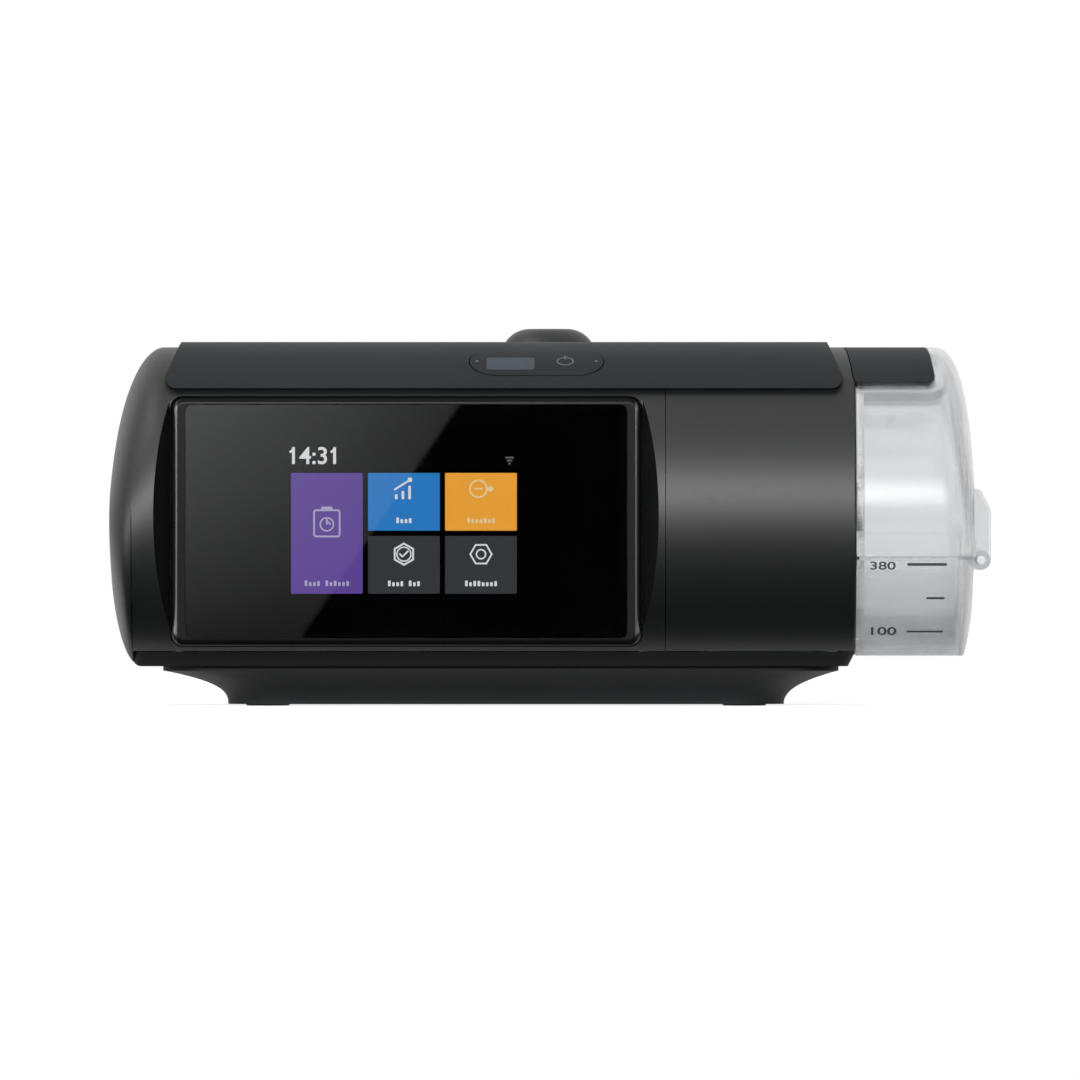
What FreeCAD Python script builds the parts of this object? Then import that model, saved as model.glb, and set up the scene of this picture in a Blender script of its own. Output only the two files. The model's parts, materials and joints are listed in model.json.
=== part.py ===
import FreeCAD, Part

import math
import os

# A bedside positive-airway-pressure machine with a side-loaded humidifier tank.
# Millimetres, +Z up. The display faces -Y, the tank slides out to +X.
# The origin is on the table, in the middle of the machine's box.

Vector = FreeCAD.Vector

# Fits
panel_gap = 0.2          # between fixed panels that meet
touch_gap = 0.05         # between curved faces that lie on each other
moving_gap = 0.35        # between pieces that move past each other
running_gap = 0.05       # radial play of a pin or shaft in its hole

# Housing section: a round barrel at the front, flat top, upright rear wall
front_radius = 50.5
section_centre_y = -22.0
section_centre_z = 57.5
housing_depth = 121.5
housing_bottom_z = 12.0
rear_top_radius = 34.0
rear_bottom_radius = 20.0
wall = 2.5

# Housing length
left_end_x = -132.5
cap_depth = 6.9
body_length = 216.8
bay_length = 57.0

# Rounded ends
shoulder_length = 16.0
cap_side_inset = 14.0
cap_lower_depth = 9.3     # how far the lower corner of the left end is rounded, tray included
seam_width = 0.3         # shadow line round the cap
seam_depth = 0.6
edge_break = 0.6         # chamfer round the tank face
end_middle_z = 54.0
end_roundness = 0.966
tank_top_rounding = 12.0
tank_side_rounding = 9.0
tank_side_inset = 11.0
tank_bottom_rounding = 6.5
tank_end_power = 2.5

# Bottom tray and pedestal
tray_rim_height = 4.4
tray_floor = 2.5
tray_front_taper = 4.0
tray_back_taper = 3.0
tray_right_taper = 2.2
pedestal_top_left_x = -116.9
pedestal_top_right_x = 86.4
pedestal_top_front_y = -45.0
pedestal_top_back_y = 36.0
pedestal_ledge_height = 1.4
pedestal_left_sweep = 19.4
pedestal_right_sweep = 16.3
pedestal_side_sweep = 10.5
pedestal_left_curve = 2.7    # powers of the flare: 1 is straight, more is hollower
pedestal_right_curve = 2.3
pedestal_side_curve = 2.3
pedestal_steps = 6
pedestal_corner_radius = 14.0
pedestal_wall = 2.4
foot_radius = 6.5
foot_thickness = 2.0
foot_proud = 0.5
foot_inset = 12.0

# Screws
screw_radius = 1.5
screw_head_radius = 2.8
screw_head_height = 1.6
screw_length = 10.0
boss_radius = 3.5
boss_top_z = 45.0
boss_front_y = -43.9
boss_rear_y = 35.0
boss_left_x = -112.0
boss_right_x = 27.5
rib_thickness = 2.0

# Top cover plate
plate_thickness = 1.6
plate_bottom_z = 95.4
plate_rear_y = 3.0
plate_left_x = -115.9
plate_right_x = 87.3
plate_side_slant = 4.2
plate_corner_radius = 3.5

# Start key, set in the cover plate
key_length = 40.1
key_width = 15.5
key_middle_x = -4.5
key_angle = 61.9
key_proud = 0.15
key_skirt = 1.2
key_depth = 5.5
key_tab = 1.2
key_tab_width = 7.0
key_tab_height = 0.9
key_travel = 0.8
key_stem_radius = 2.0
key_stem_drop = 0.6
key_board_drop = 5.0
key_board_length = 62.0
key_board_width = 12.0
key_post_spacing = 52.0
key_post_radius = 2.2
board_thickness = 1.6
switch_width = 6.0
switch_height = 3.2

# Display module in its recess
bezel_left_x = -114.1
bezel_right_x = 27.0
bezel_bottom_z = 18.2
bezel_top_z = 92.7
bezel_setback = 13.3
bezel_depth = 9.0
bezel_border = 4.2
bezel_rounding = 1.9
bezel_corner_radius = 4.0
recess_flare = 4.7
recess_rim = 3.0
glass_thickness = 1.2
glass_setback = 0.3
panel_thickness = 3.6
panel_margin = 1.5
board_margin = 6.0

# Outlet elbow in its rear pocket
elbow_x = -0.9
elbow_y = 24.0
elbow_swing = 30.0
elbow_head_radius = 14.5
elbow_head_flat_radius = 6.35
elbow_top_z = 114.0
elbow_dome_height = 9.5
spigot_radius = 11.0
spigot_end_y = 72.5
spigot_axis_z = 96.6
spigot_wall = 2.0
cuff_length = 22.0
spigot_bead = 0.8
spigot_bead_width = 2.0
spigot_root_step = 0.5
pocket_radius = 17.0
pocket_floor_z = 84.0
pocket_side_gap = 1.6
collar_wall = 2.4
neck_radius = 10.9
neck_wall = 2.4
neck_bottom_z = 73.2
seal_groove_depth = 0.9
seal_height = 2.0
seal_lift = 4.0

# Ducts between the blower, the tank and the outlet
duct_radius = 10.0
duct_wall = 1.5
duct_bend_radius = 12.0
port_z = 60.0
seal_ring_width = 2.5
port_seal_proud = 0.25

# Bay liner, heater and tank
liner_thickness = 2.0
tank_gap = 1.0
tank_shoulder_gap = 0.4
tank_reach = 35.5
tank_wall = 2.0
tank_bottom_z = 15.2
parting_z = 43.9
gasket_height = 1.0
gasket_inset = 0.4
gasket_width = 1.2
rim_band_height = 5.0
rim_band_proud = 0.5
insert_inner_gap = 1.6
insert_roof = 2.0
heater_left_x = 45.0
heater_right_x = 86.0
heater_front_y = -38.0
heater_back_y = 30.0
heater_thickness = 1.5
heater_pad_thickness = 1.2
base_plate_thickness = 1.0
base_plate_lap = 3.0
heater_gap = 0.3

# Tank lid hinge
hinge_offset = 2.8
knuckle_radius = 3.0
knuckle_half_length = 8.0
hinge_half_length = 22.0
hinge_pin_radius = 1.3
lug_height = 24.0
lug_slope_height = 9.0

# Lid latch pad
latch_left_overhang = 1.9
latch_width = 24.4
latch_height = 35.0
latch_lean = 3.0         # how far the upper end stands to the left of the lower
latch_angle = 72.0
latch_thickness = 2.0
latch_travel = 1.2
latch_corner_radius = 3.0
latch_peg_radius = 1.6
latch_peg_spacing = 12.0
latch_peg_length = 7.5

# Rear door, air filter and power inlet
door_left_x = -100.0
door_width = 44.0
door_bottom_z = 36.0
door_height = 34.0
door_thickness = 2.4
door_pin_radius = 0.8
door_pin_length = 1.6
door_slot_width = 2.6
door_slot_count = 8
filter_margin = 2.6
filter_thickness = 6.0
filter_ledge = 3.0
inlet_x = 14.0
inlet_z = 42.0
inlet_width = 14.0
inlet_height = 12.0
inlet_depth = 14.0
inlet_bore_radius = 2.85
inlet_bore_depth = 9.5
inlet_pin_radius = 1.0
inlet_lip = 1.5

# Blower
blower_x = -72.0
blower_y = 1.0
blower_outlet_offset = 29.0
impeller_radius = 24.0
impeller_eye_radius = 13.0
impeller_hub_radius = 6.0
impeller_blades = 11
impeller_height = 13.0
blade_thickness = 1.2
blade_sweep = 38.0
disc_thickness = 1.2
volute_start_radius = 27.5
volute_end_radius = 37.0
volute_wall = 1.8
volute_bottom_z = 24.0
volute_height = 22.0
volute_outlet_reach = 37.0
ear_radius = 5.0
ear_circle_radius = 36.5
mount_radius = 4.0
motor_radius = 15.0
motor_wall = 1.6
motor_height = 19.0
shaft_radius = 2.0
bearing_radius = 6.0
bearing_width = 4.0
rotor_radius = 9.0

# Boards and muffler
main_board_left_x = -26.0
main_board_right_x = 22.0
main_board_front_y = -42.0
main_board_back_y = 36.0
main_board_rise = 5.5
standoff_radius = 3.0
standoff_inset = 6.0
foam_thickness = 6.5
foam_half_width = 26.5

# Worked-out places
cap_seam_x = left_end_x + cap_depth
tank_face_x = cap_seam_x + body_length
bay_seam_x = tank_face_x - bay_length
straight_start_x = left_end_x + shoulder_length
front_y = section_centre_y - front_radius
rear_y = front_y + housing_depth
housing_top_z = section_centre_z + front_radius
tray_top_z = housing_bottom_z + tray_rim_height
floor_z = housing_bottom_z + tray_floor
bezel_front_y = front_y + bezel_setback
bezel_back_y = bezel_front_y + bezel_depth
plate_radius = front_radius + plate_thickness
insert_inset = wall + tank_gap
shoulder_x = tank_face_x + tank_shoulder_gap
tank_end_x = tank_face_x + tank_reach
heater_top_z = floor_z + heater_pad_thickness + heater_thickness
base_plate_z = heater_top_z + heater_gap
insert_floor_z = base_plate_z + base_plate_thickness
roof_top_z = parting_z + insert_roof
liner_roof_z = roof_top_z + tank_gap
insert_left_x = bay_seam_x + panel_gap + liner_thickness + insert_inner_gap
lid_bottom_z = parting_z + gasket_height
hinge_x = tank_end_x + hinge_offset
outlet_duct_y = elbow_y
supply_duct_y = blower_y - blower_outlet_offset
volute_mid_z = volute_bottom_z + volute_height / 2
volute_top_z = volute_bottom_z + volute_height


def box(x0, x1, y0, y1, z0, z1):
    return Part.makeBox(x1 - x0, y1 - y0, z1 - z0, Vector(x0, y0, z0))


def rod(radius, start, end):
    return Part.makeCylinder(radius, (end - start).Length, start, end - start)


def pipe(outer, inner, start, end):
    return rod(outer, start, end).cut(rod(inner, start, end))


def line(start, end):
    return Part.LineSegment(start, end).toShape()


def join(shapes):
    whole = shapes[0]
    for shape in shapes[1:]:
        whole = whole.fuse(shape)
    return whole.removeSplitter()


def above(z):
    """All the space over a height."""
    reach = 4 * housing_depth
    return box(-reach, reach, -reach, reach, z, z + reach)


def slab(z0, z1):
    reach = 4 * housing_depth
    return box(-reach, reach, -reach, reach, z0, z1)


# ---------------------------------------------------------------- the section

def barrel_y(z, inset=0.0):
    """Front surface of the barrel at a height."""
    radius = front_radius - inset
    return section_centre_y - math.sqrt(radius ** 2 - (z - section_centre_z) ** 2)


def section_wire(x, inset=0.0):
    """The housing's outline across the machine, drawn in by an inset."""
    radius = front_radius - inset
    bottom = housing_bottom_z + inset
    top = section_centre_z + radius
    back = rear_y - inset
    upper = rear_top_radius - inset
    lower = rear_bottom_radius - inset
    bulge = math.sqrt(0.5)
    toe = Vector(x, barrel_y(bottom, inset), bottom)
    nose = Vector(x, section_centre_y - radius, section_centre_z)
    crown = Vector(x, section_centre_y, top)
    upper_start = Vector(x, back - upper, top)
    upper_middle = Vector(x, back - upper + upper * bulge, top - upper + upper * bulge)
    upper_end = Vector(x, back, top - upper)
    lower_start = Vector(x, back, bottom + lower)
    lower_middle = Vector(x, back - lower + lower * bulge, bottom + lower - lower * bulge)
    lower_end = Vector(x, back - lower, bottom)
    return Part.Wire([
        Part.Arc(toe, nose, crown).toShape(),
        line(crown, upper_start),
        Part.Arc(upper_start, upper_middle, upper_end).toShape(),
        line(upper_end, lower_start),
        Part.Arc(lower_start, lower_middle, lower_end).toShape(),
        line(lower_end, toe),
    ])


def barrel(x0, x1, inset=0.0):
    return Part.Face(section_wire(x0, inset)).extrude(Vector(x1 - x0, 0, 0))


def fitted_section(x, inset, top, bottom, front, back):
    """The section squeezed to a given top, bottom, front and back."""
    full_top = housing_top_z - inset
    full_bottom = housing_bottom_z + inset
    full_front = front_y + inset
    full_back = rear_y - inset
    squeeze = FreeCAD.Matrix()
    squeeze.A22 = (back - front) / (full_back - full_front)
    squeeze.A24 = front - full_front * squeeze.A22
    squeeze.A33 = (top - bottom) / (full_top - full_bottom)
    squeeze.A34 = bottom - full_bottom * squeeze.A33
    return Part.Wire(section_wire(x, inset).transformGeometry(squeeze).Edges)


class RoundedEnd:
    """How one end of the machine closes: a soft dome over the section."""

    def __init__(self, tip_x, outward, top_depth, side_depth, bottom_depth, side_inset, power):
        self.tip_x = tip_x
        self.outward = outward
        self.top_depth = top_depth
        self.side_depth = side_depth
        self.bottom_depth = bottom_depth
        self.side_inset = side_inset
        self.power = power

    def fullness(self, x, depth, inset):
        """1 where the rounding starts, falling to the small flat at the tip."""
        to_tip = (self.tip_x - x) * self.outward - inset
        share = end_roundness * min(1.0, max(0.0, 1.0 - to_tip / (depth - inset)))
        return (1.0 - share ** self.power) ** (1.0 / self.power)

    def section(self, x, inset):
        over = housing_top_z - inset - end_middle_z
        under = end_middle_z - housing_bottom_z - inset
        top = end_middle_z + over * self.fullness(x, self.top_depth, inset)
        bottom = end_middle_z - under * self.fullness(x, self.bottom_depth, inset)
        side = self.side_inset * (1.0 - self.fullness(x, self.side_depth, inset))
        return fitted_section(x, inset, top, bottom, front_y + inset + side, rear_y - inset - side)

    def loft(self, start_x, end_x, inset, steps):
        """Solid between two stations, stepped finer towards the tip."""
        wires = []
        for step in range(steps + 1):
            share = math.sin(math.radians(90.0 * step / steps))
            wires.append(self.section(start_x + (end_x - start_x) * share, inset))
        return Part.makeLoft(wires, True, False)


left_end = RoundedEnd(left_end_x, -1, shoulder_length, cap_depth, cap_depth, cap_side_inset, 2.0)
tank_end = RoundedEnd(tank_end_x, 1, tank_top_rounding, tank_side_rounding,
                      tank_bottom_rounding, tank_side_inset, tank_end_power)


def rounded_rectangle(x0, x1, y0, y1, z, radius):
    """Closed wire in a level plane with four round corners."""
    bulge = radius * (1.0 - math.sqrt(0.5))
    corners = [(x1, y0, -1, 1), (x1, y1, -1, -1), (x0, y1, 1, -1), (x0, y0, 1, 1)]
    edges = []
    ends = []
    for index, (x, y, inward_x, inward_y) in enumerate(corners):
        on_x_side = Vector(x + inward_x * radius, y, z)
        on_y_side = Vector(x, y + inward_y * radius, z)
        middle = Vector(x + inward_x * bulge, y + inward_y * bulge, z)
        pair = (on_x_side, on_y_side) if index % 2 == 0 else (on_y_side, on_x_side)
        ends.append((pair[0], middle, pair[1]))
    for index in range(4):
        start, middle, end = ends[index]
        edges.append(Part.Arc(start, middle, end).toShape())
        edges.append(line(end, ends[(index + 1) % 4][0]))
    return Part.Wire(edges)


def rounded_block(x0, x1, y0, y1, z0, z1, radius):
    return Part.Face(rounded_rectangle(x0, x1, y0, y1, z0, radius)).extrude(Vector(0, 0, z1 - z0))


def upright_block(x0, x1, z0, z1, y0, y1, radius):
    """A block with its four edges along Y rounded, like a screen seen from the front."""
    flat = rounded_block(x0, x1, z0, z1, -y1, -y0, radius)
    return flat.rotate(Vector(0, 0, 0), Vector(1, 0, 0), 90)


def on_barrel(shape, x, angle, radius):
    """Stands a shape, drawn about the origin with +Z outward, on the barrel's front."""
    slope = math.radians(angle)
    place = Vector(x, section_centre_y - radius * math.cos(slope),
                   section_centre_z + radius * math.sin(slope))
    moved = shape.copy()
    moved.Placement = FreeCAD.Placement(place, FreeCAD.Rotation(Vector(1, 0, 0), 90.0 - angle))
    return moved


def stadium(length, width, z0, z1):
    return rounded_block(-length / 2, length / 2, -width / 2, width / 2, z0, z1, width / 2 - 0.01)


def rounded_path(points, radius):
    """Straight runs joined by tangent arcs, for ducts."""
    edges = []
    start = points[0]
    for index in range(1, len(points) - 1):
        corner = points[index]
        back = (points[index - 1] - corner).normalize()
        ahead = (points[index + 1] - corner).normalize()
        half = back.getAngle(ahead) / 2
        trim = radius / math.tan(half)
        enter = corner + back * trim
        leave = corner + ahead * trim
        centre = corner + (back + ahead).normalize() * (radius / math.sin(half))
        middle = centre + (corner - centre).normalize() * radius
        edges.append(line(start, enter))
        edges.append(Part.Arc(enter, middle, leave).toShape())
        start = leave
    edges.append(line(start, points[-1]))
    return Part.Wire(edges)


def swept_tube(points, bend_radius, outer, inner):
    path = rounded_path(points, bend_radius)
    direction = points[1] - points[0]
    solids = []
    for radius in (outer, inner):
        ring = Part.Wire([Part.Circle(points[0], direction, radius).toShape()])
        solids.append(path.makePipeShell([ring], True, False))
    return solids[0].cut(solids[1])


# ---------------------------------------------------------------- housing

def shoulder(inset):
    return left_end.loft(straight_start_x, cap_seam_x, inset, 4)


def recess_form(grow, back_y):
    """The display recess: flared ends over the barrel, upright behind the bezel's face."""
    x0 = bezel_left_x - moving_gap - grow
    x1 = bezel_right_x + moving_gap + grow
    z0 = bezel_bottom_z - moving_gap - grow
    z1 = bezel_top_z + moving_gap + grow
    mouth_y = front_y - 1.0
    flare = recess_flare * (bezel_front_y - mouth_y) / bezel_setback
    back = upright_block(x0, x1, z0, z1, bezel_front_y, back_y, bezel_corner_radius)
    outline = [
        Vector(x0 - flare, mouth_y, z0), Vector(x1 + flare, mouth_y, z0),
        Vector(x1, bezel_front_y, z0), Vector(x0, bezel_front_y, z0),
    ]
    flared = Part.Face(Part.makePolygon(outline + outline[:1])).extrude(Vector(0, 0, z1 - z0))
    return back.fuse(flared)


def pocket_form(grow, floor_z0):
    """Round pocket for the elbow's head, opening in a fan to the rear."""
    top = housing_top_z + 1.0
    head = rod(pocket_radius + grow, Vector(elbow_x, elbow_y, floor_z0), Vector(elbow_x, elbow_y, top))
    half = spigot_radius + spigot_bead + pocket_side_gap + grow
    reach = housing_depth
    swing = math.radians(elbow_swing)
    side = half * math.cos(swing)
    drop = half * math.sin(swing)
    run = reach * math.sin(swing)
    rise = reach * math.cos(swing)
    corners = [
        Vector(elbow_x - side, elbow_y - drop, floor_z0),
        Vector(elbow_x + side, elbow_y - drop, floor_z0),
        Vector(elbow_x + side + run, elbow_y - drop + rise, floor_z0),
        Vector(elbow_x - side - run, elbow_y - drop + rise, floor_z0),
    ]
    fan = Part.Face(Part.makePolygon(corners + corners[:1])).extrude(Vector(0, 0, top - floor_z0))
    return head.fuse(fan)


def filter_box(grow, depth):
    """Space behind the rear door."""
    return box(door_left_x + filter_margin - grow, door_left_x + door_width - filter_margin + grow,
               rear_y - door_thickness - depth, rear_y + 1.0,
               door_bottom_z + filter_margin - grow, door_bottom_z + door_height - filter_margin + grow)


def door_space():
    return box(door_left_x - moving_gap, door_left_x + door_width + moving_gap,
               rear_y - door_thickness - moving_gap / 2, rear_y + 1.0,
               door_bottom_z - moving_gap, door_bottom_z + door_height + moving_gap)


def door_axis(z):
    return Vector(door_left_x + door_thickness / 2, rear_y - door_thickness / 2, z)


def door_pin_rod(radius, play):
    reach = door_pin_length + play
    return rod(radius, door_axis(door_bottom_z - reach), door_axis(door_bottom_z + door_height + reach))


def shell_bosses():
    """Screw posts with ribs, down to the tray."""
    posts = []
    base_z = tray_top_z + panel_gap
    for x in (boss_left_x, boss_right_x):
        for y, wall_y in ((boss_front_y, bezel_back_y + wall / 2), (boss_rear_y, rear_y - wall / 2)):
            post = rod(boss_radius, Vector(x, y, base_z), Vector(x, y, boss_top_z))
            rib = box(x - rib_thickness / 2, x + rib_thickness / 2, min(y, wall_y), max(y, wall_y),
                      base_z, boss_top_z)
            posts.append(post.fuse(rib))
    return posts


def boss_places():
    return [(x, y) for x in (boss_left_x, boss_right_x) for y in (boss_front_y, boss_rear_y)]


def key_posts():
    """Two posts that carry the start key's board."""
    posts = []
    seat = front_radius - wall
    board_top = -(key_depth + key_board_drop)
    for side in (-1, 1):
        post = rod(key_post_radius, Vector(side * key_post_spacing / 2, 0, board_top),
                   Vector(side * key_post_spacing / 2, 0, seat - plate_radius + wall / 2))
        posts.append(on_barrel(post, key_middle_x, key_angle, plate_radius))
    return posts


def key_hole(grow):
    depth = key_depth + key_travel + moving_gap
    hole = stadium(key_length + 2 * grow, key_width + 2 * grow, -depth, depth)
    return on_barrel(hole, key_middle_x, key_angle, plate_radius)


def main_shell():
    end_x = bay_seam_x - panel_gap
    outer = shoulder(0.0).fuse(barrel(straight_start_x, end_x))
    inner = shoulder(wall).fuse(barrel(straight_start_x, end_x, wall))
    shell = outer.cut(inner)
    inside = [
        recess_form(wall, bezel_back_y + wall),
        pocket_form(wall, pocket_floor_z - wall),
        rod(neck_radius + running_gap + collar_wall, Vector(elbow_x, elbow_y, neck_bottom_z),
            Vector(elbow_x, elbow_y, pocket_floor_z)),
        filter_box(rib_thickness, filter_thickness + rib_thickness),
        box(door_left_x - wall, door_left_x + door_width + wall, rear_y - door_thickness - wall, rear_y,
            door_bottom_z - wall, door_bottom_z + door_height + wall),
    ]
    for piece in inside + shell_bosses() + key_posts():
        shell = shell.fuse(piece.common(outer))
    window = upright_block(bezel_left_x + recess_rim, bezel_right_x - recess_rim,
                           bezel_bottom_z + recess_rim, bezel_top_z - recess_rim,
                           bezel_back_y - 1.0, bezel_back_y + wall + 1.0, bezel_corner_radius)
    openings = [
        recess_form(0.0, bezel_back_y),
        window,
        pocket_form(0.0, pocket_floor_z),
        rod(neck_radius + running_gap, Vector(elbow_x, elbow_y, neck_bottom_z - 1.0),
            Vector(elbow_x, elbow_y, pocket_floor_z + 1.0)),
        door_space(),
        filter_box(0.0, filter_thickness),
        filter_box(-filter_ledge, filter_thickness + 2 * rib_thickness),
        door_pin_rod(door_pin_radius + running_gap, running_gap),
        key_hole(moving_gap),
        box(inlet_x - inlet_width / 2 - panel_gap, inlet_x + inlet_width / 2 + panel_gap,
            rear_y - 2 * wall, rear_y + 1.0,
            inlet_z - inlet_height / 2 - panel_gap, inlet_z + inlet_height / 2 + panel_gap),
    ]
    for opening in openings:
        shell = shell.cut(opening)
    for x, y in boss_places():
        base_z = tray_top_z + panel_gap
        shell = shell.cut(rod(screw_radius + touch_gap, Vector(x, y, base_z - 1.0),
                              Vector(x, y, base_z + screw_length)))
    return shell.common(above(tray_top_z + panel_gap)).removeSplitter()


def lower_corner():
    """What the rounded lower corner of the left end leaves out, across the whole depth."""
    middle = Vector(left_end_x + cap_lower_depth, 2 * front_y, end_middle_z)
    lowest = middle - Vector(0, 0, end_middle_z - housing_bottom_z)
    leftmost = middle - Vector(cap_lower_depth / end_roundness, 0, 0)
    arc = Part.ArcOfEllipse(Part.Ellipse(lowest, leftmost, middle), 0.0, math.radians(90)).toShape()
    outer = leftmost.x - wall
    under = lowest.z - wall
    outline = Part.Wire([
        arc,
        line(leftmost, Vector(outer, leftmost.y, leftmost.z)),
        line(Vector(outer, leftmost.y, leftmost.z), Vector(outer, leftmost.y, under)),
        line(Vector(outer, leftmost.y, under), Vector(lowest.x, leftmost.y, under)),
        line(Vector(lowest.x, leftmost.y, under), lowest),
    ])
    return Part.Face(outline).extrude(Vector(0, -4 * front_y, 0))


def left_end_cap():
    outer = left_end.loft(cap_seam_x, left_end_x, 0.0, 6)
    inner = left_end.loft(cap_seam_x, left_end_x + wall, wall, 6)
    groove = barrel(cap_seam_x - seam_width, cap_seam_x + 1.0, -1.0)
    groove = groove.cut(barrel(cap_seam_x - 1.0, cap_seam_x + 2.0, seam_depth))
    return outer.cut(inner).cut(groove).cut(lower_corner())


def tray_form(inset, z0, z1):
    """The tray's outline between two heights, leaning in towards the bottom as the barrel does."""
    drop = housing_bottom_z + rear_bottom_radius - tray_top_z
    back = rear_y - rear_bottom_radius + math.sqrt(rear_bottom_radius ** 2 - drop ** 2)
    wires = []
    for z in (z0, z1):
        lean = (tray_top_z - z) / tray_rim_height
        wires.append(rounded_rectangle(
            cap_seam_x + panel_gap + inset, tank_face_x - inset - tray_right_taper * lean,
            barrel_y(tray_top_z) + inset + tray_front_taper * lean,
            back - inset - tray_back_taper * lean, z, wall + 1.0 - inset / 2))
    return Part.makeLoft(wires, True, True)


def bottom_tray():
    outer = tray_form(0.0, housing_bottom_z, tray_top_z)
    hollow = tray_form(wall, floor_z, tray_top_z + 1.0)
    tray = outer.cut(hollow).cut(lower_corner())
    for x, y in board_standoffs():
        tray = tray.fuse(rod(standoff_radius, Vector(x, y, floor_z - 0.5),
                             Vector(x, y, floor_z + main_board_rise)))
    for x, y in boss_places():
        tray = tray.fuse(rod(boss_radius, Vector(x, y, floor_z - 0.5), Vector(x, y, tray_top_z)))
        tray = tray.cut(screw_at(x, y, touch_gap))
    return tray.removeSplitter()


def screw_at(x, y, grow):
    """A tray screw, head flush with the tray's underside."""
    head_top = housing_bottom_z + screw_head_height
    head = rod(screw_head_radius + grow, Vector(x, y, housing_bottom_z - grow), Vector(x, y, head_top + grow))
    shank_end = Vector(x, y, head_top + screw_length + grow)
    return head.fuse(rod(screw_radius + grow, Vector(x, y, head_top), shank_end))


def tray_screws():
    return Part.makeCompound([screw_at(x, y, 0.0) for x, y in boss_places()])


def pedestal_outline(z, share, inset):
    """Level outline of the stand: share is 0 at the foot and 1 at the ledge."""
    left = pedestal_left_sweep * (1.0 - share ** pedestal_left_curve)
    right = pedestal_right_sweep * (1.0 - share ** pedestal_right_curve)
    side = pedestal_side_sweep * (1.0 - share ** pedestal_side_curve)
    return rounded_rectangle(
        pedestal_top_left_x + left + inset, pedestal_top_right_x - right - inset,
        pedestal_top_front_y + side + inset, pedestal_top_back_y - side - inset,
        z, pedestal_corner_radius - inset)


def pedestal_form(inset):
    """Stand whose sides flare out in a curve, up to a thin upright ledge."""
    ledge_z = housing_bottom_z - pedestal_ledge_height
    wires = []
    for step in range(pedestal_steps + 1):
        share = step / pedestal_steps
        wires.append(pedestal_outline(foot_proud + (ledge_z - foot_proud) * share, share, inset))
    ledge = Part.Face(wires[-1]).extrude(Vector(0, 0, pedestal_ledge_height))
    return Part.makeLoft(wires, True, False).fuse(ledge)


def foot_places():
    left = pedestal_top_left_x + pedestal_left_sweep + foot_inset
    right = pedestal_top_right_x - pedestal_right_sweep - foot_inset
    front = pedestal_top_front_y + pedestal_side_sweep + foot_inset
    back = pedestal_top_back_y - pedestal_side_sweep - foot_inset
    return [(x, y) for x in (left, right) for y in (front, back)]


def pedestal_base():
    hollow = pedestal_form(pedestal_wall).translated(Vector(0, 0, pedestal_wall))
    base = pedestal_form(0.0).cut(hollow)
    for x, y in foot_places():
        seat_top = foot_thickness + panel_gap
        base = base.fuse(rod(foot_radius + pedestal_wall / 2, Vector(x, y, foot_proud + 0.5),
                             Vector(x, y, housing_bottom_z)))
        base = base.cut(rod(foot_radius + panel_gap, Vector(x, y, foot_proud - 1.0), Vector(x, y, seat_top)))
        base = base.cut(rod(screw_radius + touch_gap, Vector(x, y, 0.0), Vector(x, y, housing_bottom_z)))
        base = base.cut(rod(screw_head_radius + panel_gap, Vector(x, y, 0.0),
                            Vector(x, y, seat_top + screw_head_height)))
    return base.removeSplitter()


def base_screws():
    screws = []
    for x, y in foot_places():
        seat_z = foot_thickness + panel_gap
        head_top = seat_z + screw_head_height
        head = rod(screw_head_radius, Vector(x, y, seat_z), Vector(x, y, head_top))
        screws.append(head.fuse(rod(screw_radius, Vector(x, y, head_top), Vector(x, y, housing_bottom_z))))
    return Part.makeCompound(screws)


def rubber_feet():
    feet = []
    for x, y in foot_places():
        foot = rod(foot_radius, Vector(x, y, 0), Vector(x, y, foot_thickness))
        rim = [edge for edge in foot.Edges if edge.BoundBox.ZMax < foot_proud / 2]
        feet.append(foot.makeChamfer(foot_proud / 2, rim))
    return Part.makeCompound(feet)


# ---------------------------------------------------------------- top cover and start key

def plate_outline():
    """Cover plate seen from the front: slanted sides, round lower corners."""
    top_z = housing_top_z + 4 * plate_thickness
    rise = top_z - plate_bottom_z
    lean = plate_side_slant * rise / (housing_top_z - plate_bottom_z)
    r = plate_corner_radius
    bulge = r * (1.0 - math.sqrt(0.5))
    y = 2 * front_y
    left, right, low = plate_left_x, plate_right_x, plate_bottom_z
    edges = [
        line(Vector(left + r, y, low), Vector(right - r, y, low)),
        Part.Arc(Vector(right - r, y, low), Vector(right - bulge, y, low + bulge),
                 Vector(right, y, low + r)).toShape(),
        line(Vector(right, y, low + r), Vector(right - lean, y, top_z)),
        line(Vector(right - lean, y, top_z), Vector(left + lean, y, top_z)),
        line(Vector(left + lean, y, top_z), Vector(left, y, low + r)),
        Part.Arc(Vector(left, y, low + r), Vector(left + bulge, y, low + bulge),
                 Vector(left + r, y, low)).toShape(),
    ]
    return Part.Face(Part.Wire(edges)).extrude(Vector(0, plate_rear_y - y, 0))


def top_plate():
    x0 = plate_left_x - 1.0
    x1 = plate_right_x + 1.0
    band = barrel(x0, x1, -plate_thickness).cut(barrel(x0 - 1.0, x1 + 1.0, -touch_gap))
    plate = band.common(plate_outline()).common(above(plate_bottom_z))
    return plate.cut(key_hole(moving_gap)).removeSplitter()


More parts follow.
